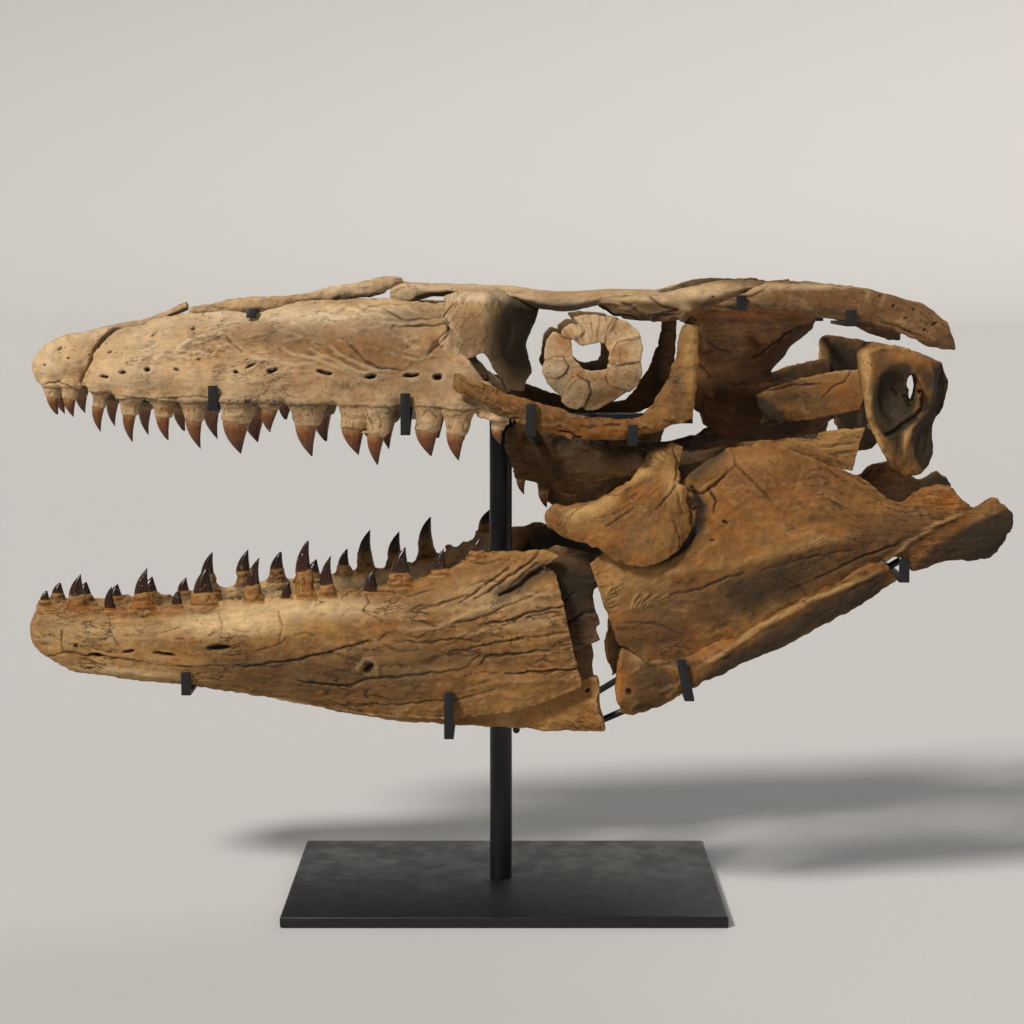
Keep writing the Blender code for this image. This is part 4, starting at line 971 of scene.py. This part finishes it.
def grab(points, bone):
    for x, z, reach, more in bone["stretches"]:
        points[:, 2] += (points[:, 2] - datum - z) * more * np.exp(-((points[:, 0] - x) / reach) ** 2)
    for x, z, reachX, reachZ, moveX, moveZ in bone["grabs"]:
        hold = patch(points, x, z, reachX, reachZ)
        points[:, 0] += moveX * hold
        points[:, 2] += moveZ * hold


def ovalShare(x, z, oval, part=0.5):
    # 0 at the middle of a turned oval, 1 on its edge, which lies at that part of its length and height
    ovalX, ovalZ, length, height, angle = oval
    turn = math.radians(angle)
    along = (x - ovalX) * math.cos(turn) + (z - ovalZ) * math.sin(turn)
    across = (z - ovalZ) * math.cos(turn) - (x - ovalX) * math.sin(turn)
    return np.hypot(along / (length * part), across / (height * part))


def carve(points, normals, bone, seed):
    # depth in mm that drawn cracks, ridges, holes and dishes add, and how dark they are
    x = points[:, 0] + ripple(points, 11, seed) * 1.5
    z = points[:, 2] - datum + ripple(points, 11, seed + 1) * 1.5
    facing = smoothStep(0.05, 0.45, normals[:, 1] * np.sign(points[:, 1]))
    depth, dark, crest = (np.zeros(len(points)) for turn in range(3))
    patchy = 0.55 + 0.45 * smoothStep(-0.4, 0.2, ripple(points, 14, seed + 2))
    for width, deep, line in bone["cracks"]:
        distance, along = nearLine(x, z, line)
        drawn = width / 2 * (0.35 + 0.65 * np.sqrt(np.sin(np.pi * np.clip(along, 0.02, 0.98))))
        half = np.maximum(drawn, bone["skin"] * 0.72)
        inside = smoothStep(1.5, 0.4, distance / half) * facing * np.minimum(1, drawn / half + 0.15)
        depth -= deep * inside
        dark = np.maximum(dark, inside * 0.9 * patchy)
    for width, high, line in bone["ridges"]:
        distance, along = nearLine(x, z, line)
        ends = smoothStep(0, 0.15, along) * smoothStep(1, 0.85, along)
        pale = min(1, 5 / width) * float(smoothStep(0.4, 1.6, high))
        crest = np.maximum(crest, np.exp(-(distance / width * 2) ** 2) * facing * ends * pale)
        depth += high * np.exp(-(distance / width * 1.6) ** 2) * facing * ends
    for *oval, deep in bone["dishes"]:
        depth -= deep * smoothStep(1.05, 0.45, ovalShare(x, z, oval, 1)) * facing
    for *oval, deep in bone["holes"]:
        inside = smoothStep(1.3, 0.6, ovalShare(x, z, oval)) * facing
        depth -= deep * inside
        # holes are painted near black: painted shade inside them
        dark = np.maximum(dark, inside * 0.96)
    return depth, dark, crest


def patchSum(points, patches):
    total = np.zeros(len(points))
    for *place, amount in patches:
        total += amount * patch(points, *place)
    return total


def lineSum(x, z, lines):
    total = np.zeros(len(x))
    for width, amount, line in lines:
        distance, along = nearLine(x, z, line)
        ends = 0.3 + 0.7 * smoothStep(0, 0.12, along) * smoothStep(1, 0.88, along)
        total += amount * smoothStep(width * 0.75, width * 0.15, distance) * ends
    return total


def bowlShade(x, z, bowls):
    total = np.zeros(len(x))
    for *oval, amount in bowls:
        total = np.maximum(total, amount * smoothStep(1.12, 0.82, ovalShare(x, z, oval)))
    return total


# waves that roughen a surface, each as size in mm, seed and height in mm
waves = {
    "warp": [(34, 2, 1.3), (12, 5, 0.55)], "swell": [(46, 9, 1.5)], "dents": [(17, 10, 0.7)],
    "strands": [((34, 12, 14), 25, 0.6)], "fibre": [((48, 7, 9), 11, 0.34), ((26, 3.2, 5), 12, 0.22)],
    "rough": [(9, 27, 0.30), (5, 13, 0.22), (3, 14, 0.12)],
    "layers": [((75, 24, 24), 15, 1), ((20, 9, 9), 16, 0.22)], "drift": [(40, 8, 4)],
    "wander": [(14, 26, 1.6)]}
# wear: where each kind starts and is full, how deep it goes in mm and how dark it is; then how far hollows
# fill, how much of the warp is used, and the rounds and height over which relief is read
wear = {
    "flakeUp": (0.10, 0.17), "flakeDown": (-0.22, -0.28), "flake": 0.42,
    "chipped": (-0.5, -1.25), "chip": 1.1,
    "splitWidth": (0.055, 0.012), "splitPlace": (0.22, 0.60), "split": 1.1, "splitDark": 0.55,
    "pitWidth": (0.46, 0.68), "pitPlace": (-0.1, 0.4), "pit": 0.8, "pitDark": 0.5,
    "gumFrom": 1.5, "gumWidth": 1.1, "gum": 0.9, "gumDark": 0.5, "riftWidth": (0.07, 0.01), "rift": 0.7,
    "riftDark": 0.55, "fill": 2.2, "warp": 0.4, "reliefRounds": 9, "relief": 0.9, "crestTone": 0.55,
    "within": (4, 20), "inward": (-0.1, 0.6)}


def waveSum(points, kind, seed, turn=0):
    return sum(ripple(points, size, seed + own + turn) * height for size, own, height in waves[kind])


def seatTeeth(points, depth, dark, bone, seed, teeth):
    # a groove round each tooth's foot, darkened partly as a dark seam and partly as painted shade,
    # clefts up its root and the root's own tone; no wear inside the crown
    rootTone = np.zeros(len(points))
    for tooth in teeth:
        share = (points[:, 2] - tooth["z"]) * tooth["up"] / tooth["length"]
        near = ownPoints(points, tooth, share)
        own, start = share[near], tooth["start"]
        wave = ripple(points[near], 8, seed + 28) * 0.05
        gum = np.exp(-((own * tooth["length"] - wear["gumFrom"] - wave * 40) / wear["gumWidth"]) ** 2)
        rift = smoothStep(*wear["riftWidth"], abs(ripple(points[near], (8, 8, 26), seed + 29)))
        rift *= smoothStep(0.02, 0.10, own) * smoothStep(start + 0.02, start - 0.04, own)
        depth[near] -= gum * wear["gum"] + rift * wear["rift"]
        rootTone[near] += bone["roots"] * smoothStep(-0.08, 0.02, own)
        gumDark = gum * wear["gumDark"] * smoothStep(-0.5, 0.3, wave * 20)
        dark[near] = np.maximum.reduce([dark[near], gumDark, rift * wear["riftDark"]])
        depth[near] *= 1 - smoothStep(start - 0.12, start + 0.02, own)
    return rootTone


def weather(obj, bone, seed, teeth):
    # the fossil surface: warps, fibres, flakes, cracks and pits, with its marks kept for the material
    points, edges = readPoints(obj), readEdges(obj)
    degree = np.maximum(np.bincount(edges.ravel(), minlength=len(points)), 1)
    grab(points, bone)
    writePoints(obj, points)
    points, lift = softenFacets(
        points, readNormals(obj), edges, degree, bone["rounds"], bone["sink"], wear["fill"])
    thinTeeth(points, teeth)
    warp = [waveSum(points, "warp", seed, turn) for turn in range(3)]
    points += np.stack(warp, 1) * bone["rim"] * wear["warp"]
    writePoints(obj, points)
    normals = readNormals(obj)
    fibres = fibrePlaces(points, bone)
    fibres[:, 1] += waveSum(points, "drift", seed)
    swell = waveSum(points, "swell", seed) * bone["swell"] + waveSum(points, "dents", seed)
    swell += waveSum(fibres, "strands", seed)
    fibre = waveSum(fibres, "fibre", seed) * bone["fibre"]
    rough = waveSum(points, "rough", seed) * bone["rough"]
    layers = waveSum(fibres, "layers", seed)
    flakes = smoothStep(*wear["flakeUp"], layers) + smoothStep(*wear["flakeDown"], layers) - 1
    flakes = flakes * wear["flake"] * bone["flake"]
    breaks = abs(ripple(fibres, (95, 15, 17), seed + 17) + rough * 0.10)
    where = ripple(fibres, (60, 30, 30), seed + 18) + 0.2 * bone["crackle"]
    split = smoothStep(*wear["splitWidth"], breaks) * smoothStep(*wear["splitPlace"], where)
    split *= min(1, bone["crackle"] * 2)
    pits = smoothStep(*wear["pitWidth"], ripple(points, 4.6, seed + 21))
    pits *= smoothStep(*wear["pitPlace"], ripple(points, 26, seed + 22))
    pits *= min(1, bone["pits"])
    chips = smoothStep(*wear["chipped"], lift) * ripple(points, 9, seed + 23)
    depth, dark, crest = carve(points, normals, bone, seed + 24)
    depth += bone["grow"] + swell + fibre + rough + flakes + chips * wear["chip"]
    depth -= split * wear["split"] + pits * wear["pit"]
    dark = np.maximum.reduce([dark, split * wear["splitDark"], pits * wear["pitDark"]])
    rootTone = seatTeeth(points, depth, dark, bone, seed, teeth)
    points += normals * depth[:, None]
    writePoints(obj, points)
    base = points
    for turn in range(wear["reliefRounds"]):
        base = ringMean(base, edges, degree)
    relief = np.clip(((points - base) * normals).sum(1) / wear["relief"], -1, 1)
    within = smoothStep(*wear["within"], abs(points[:, 1]))
    inward = smoothStep(*wear["inward"], -normals[:, 1] * np.sign(points[:, 1]) * within)
    wander = waveSum(points, "wander", seed)
    x, z = points[:, 0] + wander, points[:, 2] - datum + wander
    tone = patchSum(points, bone["tones"]) + lineSum(x, z, bone["streaks"])
    # painted light: the inside faces get a paler tone
    tone = np.clip(tone + crest * wear["crestTone"] + rootTone + bone["innerTone"] * inward, -1, 1)
    writeVector(obj, "look", np.stack([np.clip(dark, 0, 1), relief, tone], 1))
    writeVector(obj, "grain", fibres / 1000)
    # painted shade: shadows, bowls, shade bands and the inside faces darken the colour through the shadow
    # attribute
    shadow = patchSum(points, bone["shadows"]) + bowlShade(x, z, bone["bowls"]) + lineSum(x, z, bone["shadeBands"])
    shadow += bone["inner"] * inward
    attribute = obj.data.attributes.new("shadow", "FLOAT", "POINT")
    attribute.data.foreach_set("value", np.clip(shadow, 0, 1).astype(np.float32))
    obj.data.shade_smooth()


coarser = 1.3
seedSteps = {"bone": 2.31, "side": 91.7}


def makeBone(nodeName, entry, seed):
    bone = {**plainBone, **entry}
    obj = copyNode(nodeName, f"bone_{nodeName}")
    teeth = findTeeth(nodeName)
    extra = growSockets(teeth, seed, bone["crumbs"]) + addLumps(obj, bone, seed)
    for piece in extra:
        settle(piece)
    joinAll([obj, *extra])
    skin = bone["skin"] * (coarser if nodeName.endswith("_right") else 1)
    bone["skin"] = skin
    applyModifier(obj, "REMESH", mode="VOXEL", voxel_size=skin / 1000, adaptivity=0)
    weather(obj, bone, seed, teeth)
    finishPiece(obj, bonePaintOf[bone["finish"]], bone["slot"], nodeName)
    return teeth


teethOf = {}
for boneCount, (boneName, entry) in enumerate(bones.items()):
    nodeNames = [boneName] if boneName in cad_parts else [f"{boneName}_{word}" for word in sideSigns]
    for sideCount, nodeName in enumerate(nodeNames):
        seed = boneCount * seedSteps["bone"] + sideCount * seedSteps["side"]
        teethOf[nodeName] = makeBone(nodeName, entry, seed)
print("bones sculpted")


# one crown for each jaw, modelled as a cone of rings at these shares of the way to its tip, and then copied;
# upper and lower say how straight a crown narrows at first, and how fast it then does
crown = {
    "sides": 20, "shares": (-0.12, 0.0, 0.14, 0.3, 0.46, 0.62, 0.76, 0.88, 0.96), "upper": (0.25, 1.9),
    "lower": (0.50, 2.3), "edge": 0.07, "flatten": 0.84, "flute": 0.02, "flutes": 5,
    "whole": (0.96, 1.0), "blunt": (0.86, 0.92), "wholeOnes": 0.75,
}


def modelCrown(jaw):
    straight, power = crown[jaw]
    rings = [(t, 1 - straight * max(t, 0) - (1 - straight) * max(t, 0) ** power) for t in crown["shares"]]
    start, girth = rings[0]
    bpy.ops.mesh.primitive_circle_add(
        vertices=crown["sides"], radius=girth * 0.96, fill_type="NGON", location=(0, 0, start))
    obj = newest(f"crown_model_{jaw}")
    settle(obj)
    editAll(obj)
    bpy.ops.mesh.flip_normals()
    for (fromShare, fromGirth), (share, girth) in zip(rings, rings[1:]):
        bpy.ops.mesh.extrude_region_move(TRANSFORM_OT_translate={"value": (0, 0, share - fromShare)})
        bpy.ops.transform.resize(value=(girth / fromGirth, girth / fromGirth, 1))
    bpy.ops.mesh.extrude_region_move(TRANSFORM_OT_translate={"value": (0, 0, 1.01 - rings[-1][0])})
    bpy.ops.mesh.merge(type="CENTER")
    leaveSolid()
    applyModifier(obj, "SUBSURF", levels=1, render_levels=1)
    return obj


def placeCrown(model, tooth, name, draw):
    obj = copyPiece(model, name)
    unit = readPoints(obj) / 1000
    climb = unit[:, 2]
    around = np.arctan2(unit[:, 1], unit[:, 0])
    girth = np.hypot(unit[:, 0], unit[:, 1]) * tooth["girth"]
    girth *= 1 + crown["edge"] * abs(np.cos(around)) ** 6
    flutes = np.cos(around * crown["flutes"] + draw.uniform(0, 6))
    girth *= 1 + crown["flute"] * flutes * smoothStep(1.0, 0.6, climb)
    worn = draw.uniform(*(crown["whole"] if draw.random() < crown["wholeOnes"] else crown["blunt"]))
    climb = np.where(climb > worn, worn + (climb - worn) * 0.25, climb)
    share = tooth["start"] + (1 - tooth["start"]) * climb
    points = np.stack([
        toothCentre(tooth, share) + girth * np.cos(around),
        tooth["y"] + girth * crown["flatten"] * np.sin(around) * tooth["up"],
        tooth["z"] + tooth["up"] * share * tooth["length"]], 1)
    writePoints(obj, points)
    writeVector(obj, "crown", np.stack([climb, climb * 0, climb * 0], 1))
    return obj


crownModels = {jaw: modelCrown(jaw) for jaw in ("upper", "lower")}
for nodeName, teeth in teethOf.items():
    if not teeth:
        continue
    draw = np.random.default_rng(sum(map(ord, nodeName)))
    jaw = "lower" if "dentary" in nodeName else "upper"
    crowns = [placeCrown(crownModels[jaw], tooth, f"crown_{nodeName}_{count}", draw)
              for count, tooth in enumerate(teeth)]
    whole = joinAll(crowns)
    whole.name = whole.data.name = f"crowns_{nodeName}"
    whole.data.shade_smooth()
    finishPiece(whole, enamelPaintOf[jaw], "cream_bone" if "maxilla" in nodeName else "tan_bone")
for model in crownModels.values():
    bpy.data.objects.remove(model)
print("crowns set")


# sclerotic ring: thin overlapping plates round the eye's opening, each outline in (x, height) with its lift
eye = {
    "centre": (90, 480), "out": 110.5, "thickness": 3.0, "corner": 1.7, "dome": 2.2, "step": 0.8,
    "hole": 17, "width": 32, "lean": 1.6,
    "plates": [
        (0.0, [(43, 499), (50, 508), (59, 505), (68, 499), (70, 481), (61, 478), (41, 477), (41, 490)]),
        (2.0, [(58, 510), (68, 517), (79, 513), (82, 508), (75, 501), (68, 500), (59, 503)]),
        (0.8, [(69, 523), (82, 525), (96, 524), (97, 511), (96, 497), (77, 494), (71, 499), (77, 507),
               (75, 515)]),
        (2.2, [(95, 524), (113, 522), (110, 514), (103, 504), (102, 497), (94, 497), (93, 509)]),
        (0.6, [(106, 522), (124, 518), (136, 509), (139, 499), (132, 501), (116, 497), (111, 490), (106, 489),
               (101, 499), (103, 505), (109, 513)]),
        (2.4, [(114, 499), (131, 504), (138, 500), (140, 491), (138, 478), (126, 477), (114, 474), (106, 477),
               (107, 490)]),
        (1.0, [(105, 475), (115, 480), (126, 479), (138, 479), (140, 466), (136, 454), (127, 447), (115, 451),
               (106, 454), (103, 464)]),
        (0.0, [(88, 468), (106, 471), (107, 454), (115, 453), (128, 450), (122, 446), (109, 437), (94, 429),
               (83, 428), (79, 433), (85, 447), (84, 456), (78, 463), (79, 471)]),
        (2.6, [(68, 459), (75, 463), (84, 458), (87, 449), (82, 434), (74, 429), (64, 432), (58, 438),
               (59, 448)]),
        (0.4, [(40, 470), (52, 472), (61, 478), (70, 482), (80, 471), (80, 461), (68, 455), (59, 441),
               (50, 449), (43, 457)]),
        (2.4, [(39, 473), (41, 478), (50, 481), (59, 482), (66, 473), (62, 466), (55, 461), (44, 462),
               (39, 467)]),
    ],
}


def eyePlate(name, side, lift, outline):
    bpy.ops.mesh.primitive_circle_add(vertices=len(outline), radius=0.05, fill_type="NGON")
    obj = newest(name)
    out = eye["out"] + lift * eye["step"] - eye["thickness"]
    writePoints(obj, np.array([(x, side * out, z + datum) for x, z in outline], float))
    editAll(obj)
    bpy.ops.mesh.bevel(offset=eye["corner"] / 1000, segments=3, affect="VERTICES")
    bpy.ops.mesh.select_all(action="SELECT")
    bpy.ops.mesh.extrude_region_move(TRANSFORM_OT_translate={"value": (0, side * eye["thickness"] / 1000, 0)})
    leaveSolid()
    return obj


def domeRing(obj, side):
    # the ring bulges a little between its rims, and leans in toward the opening
    points = readPoints(obj)
    reach = np.hypot(points[:, 0] - eye["centre"][0], points[:, 2] - datum - eye["centre"][1])
    share = np.clip((reach - eye["hole"]) / eye["width"], 0, 1)
    points[:, 1] += side * (eye["dome"] * np.sin(np.pi * share) - eye["lean"] * share)
    writePoints(obj, points)


plainEye = {
    **plainBone, "rounds": 3, "grow": 0.2, "swell": 0.25, "fibre": 0.2, "flake": 0.0, "crackle": 0.0,
    "rim": 0.5, "fan": eye["centre"],
    "tones": [(90, 480, 60, 60, 0.25), (60, 503, 14, 14, -0.9), (116, 486, 16, 10, -0.9),
        (75, 464, 12, 8, -0.9), (112, 446, 16, 8, -0.5), (80, 448, 14, 12, 0.35), (94, 438, 20, 8, -0.6),
        (98, 448, 40, 16, -0.35), (52, 470, 12, 6, 0.4), (104, 462, 20, 6, -0.7), (72, 512, 10, 6, 0.4)],
    "shadows": [(98, 442, 60, 22, 0.62), (46, 468, 16, 30, 0.2)],
    "cracks": [(0.9, 0.7, [(96, 525), (95, 511), (95, 496)]),
        (0.9, 0.7, [(110, 520), (103, 505), (102, 496)]),
        (1.0, 0.9, [(139, 502), (124, 499), (115, 498), (110, 489)]),
        (0.8, 0.6, [(138, 478), (114, 474), (106, 478)]),
        (1.1, 1.0, [(105, 471), (103, 462), (106, 453), (116, 450)]), (0.8, 0.6, [(119, 450), (128, 449)]),
        (1.3, 1.2, [(75, 464), (85, 458), (88, 448), (82, 432)]),
        (0.9, 0.7, [(58, 438), (60, 449), (68, 459)]),
        (1.1, 1.0, [(52, 482), (60, 482), (66, 473), (61, 465), (55, 461)]),
        (0.8, 0.6, [(41, 478), (50, 482)]), (1.0, 0.9, [(71, 519), (79, 512), (80, 506), (74, 500)]),
        (0.8, 0.6, [(52, 509), (60, 503), (68, 500)]), (0.7, 0.5, [(66, 500), (67, 492), (61, 488)]),
        (0.7, 0.5, [(118, 486), (118, 478)])]}
eyeCell = 0.0008
for word, side in sideSigns.items():
    plates = [eyePlate(f"eye_plate_{count}", side, *plate) for count, plate in enumerate(eye["plates"])]
    ring = joinAll(plates)
    ring.name = ring.data.name = f"bone_sclerotic_ring_{word}"
    domeRing(ring, side)
    applyModifier(ring, "REMESH", mode="VOXEL", voxel_size=eyeCell, adaptivity=0)
    weather(ring, plainEye, 40.3 + side, [])
    finishPiece(ring, bonePaintOf["cream"], "cream_bone", f"sclerotic_ring_{word}")
print("eye rings made")


# stand: each steel piece gets eased edges, where its faces turn by more than an angle
easedEdge = {"base": (0.0022, 28), "post": (0.0013, 12), "rod": (0.0011, 28), "strip": (0.0005, 28)}
for nodeName in sorted(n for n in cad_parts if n.startswith("stand_")):
    kind = "base" if "base" in nodeName else "post" if "post" in nodeName else "strip"
    if "rod" in nodeName or "crossbar" in nodeName or "eye_arm" in nodeName:
        kind = "rod"
    obj = copyNode(nodeName, f"steel_{nodeName[6:]}")
    width, angle = easedEdge[kind]
    applyModifier(
        obj, "BEVEL", width=width, segments=3, limit_method="ANGLE", angle_limit=math.radians(angle))
    pick(obj)
    bpy.ops.object.shade_smooth_by_angle(angle=math.radians(32))
    finishPiece(obj, steel, "black_steel", nodeName)
print("stand made")


# studio: a wide pale floor that sweeps up far away, soft lamps and the camera
studio = {
    "flat": 24.0, "sides": 160, "curve": 7.0, "wall": 2.5, "steps": 10, "colour": (0.56, 0.56, 0.56),
    "speckle": (0.985, 1.015), "rough": 0.85, "glow": 0.09, "sky": (1.0, 0.98, 0.95), "skyStrength": 0.13}


def makeFloor():
    flat, curve = studio["flat"], studio["curve"]
    bpy.ops.mesh.primitive_circle_add(vertices=studio["sides"], radius=flat, fill_type="NGON")
    obj = newest("floor")
    editAll(obj)
    bpy.ops.mesh.region_to_loop()
    reach, height = flat, 0.0
    rings = [(flat + curve * math.sin(t), curve - curve * math.cos(t))
             for t in (math.pi / 2 * step / studio["steps"] for step in range(1, studio["steps"] + 1))]
    for nextReach, nextHeight in [*rings, (flat + curve, curve + studio["wall"])]:
        bpy.ops.mesh.extrude_edges_move(TRANSFORM_OT_translate={"value": (0, 0, nextHeight - height)})
        bpy.ops.transform.resize(value=(nextReach / reach, nextReach / reach, 1))
        reach, height = nextReach, nextHeight
    leaveEdit()
    obj.data.shade_smooth()
    paint = Paint("pale_floor")
    speckle = paint.between(paint.noise(paint.place(), 260), 0.3, 0.7, *studio["speckle"])
    colour = paint.mix(1.0, studio["colour"], paint.grey(speckle), "MULTIPLY")
    obj.data.materials.append(paint.finish({
        "Base Color": colour, "Roughness": studio["rough"], "Specular IOR Level": 0.1,
        "Emission Color": (*studio["colour"], 1), "Emission Strength": studio["glow"]}))


lamps = {  # kind, place, aim, softness, strength, colour
    "key": ("SUN", (-1.9, -2.1, 3.1), (0.0, 0.0, 0.40), 0.20, 3.1, (1.0, 0.94, 0.86)),
    "fill": ("AREA", (2.6, -2.4, 1.2), (0.1, 0.0, 0.35), 2.0, 5, (1.0, 0.97, 0.94)),
    "rear": ("SUN", (1.6, 2.4, 2.6), (0.0, 0.0, 0.40), 0.5, 0.55, (1.0, 0.97, 0.93)),
}


def makeLamps():
    for name, (kind, place, aim, softness, strength, colour) in lamps.items():
        bpy.ops.object.light_add(type=kind, location=place)
        lamp = bpy.context.active_object
        lamp.name = f"lamp_{name}"
        lamp.rotation_euler = (Vector(aim) - Vector(place)).to_track_quat("-Z", "Y").to_euler()
        lamp.data.energy, lamp.data.color = strength, colour
        if kind == "SUN":
            lamp.data.angle = softness
        else:
            lamp.data.size = softness
    world = bpy.data.worlds.new("studio")
    world.use_nodes = True
    background = world.node_tree.nodes["Background"]
    background.inputs["Color"].default_value = (*studio["sky"], 1)
    background.inputs["Strength"].default_value = studio["skyStrength"]
    bpy.context.scene.world = world


# the camera looks down by a fall of 242 in 2160
cameraSet = {"place": (0.008, -2.3, 0.67), "tilt": math.atan(242 / 2160), "lens": 75.94, "sensor": 36}


def makeCamera():
    tilt = math.pi / 2 - cameraSet["tilt"]
    bpy.ops.object.camera_add(location=cameraSet["place"], rotation=(tilt, 0, 0))
    camera = bpy.context.active_object
    camera.data.lens, camera.data.sensor_width = cameraSet["lens"], cameraSet["sensor"]
    bpy.context.scene.camera = camera


makeFloor()
makeLamps()
makeCamera()
bpy.context.scene.view_settings.view_transform = "Standard"
print("studio set")
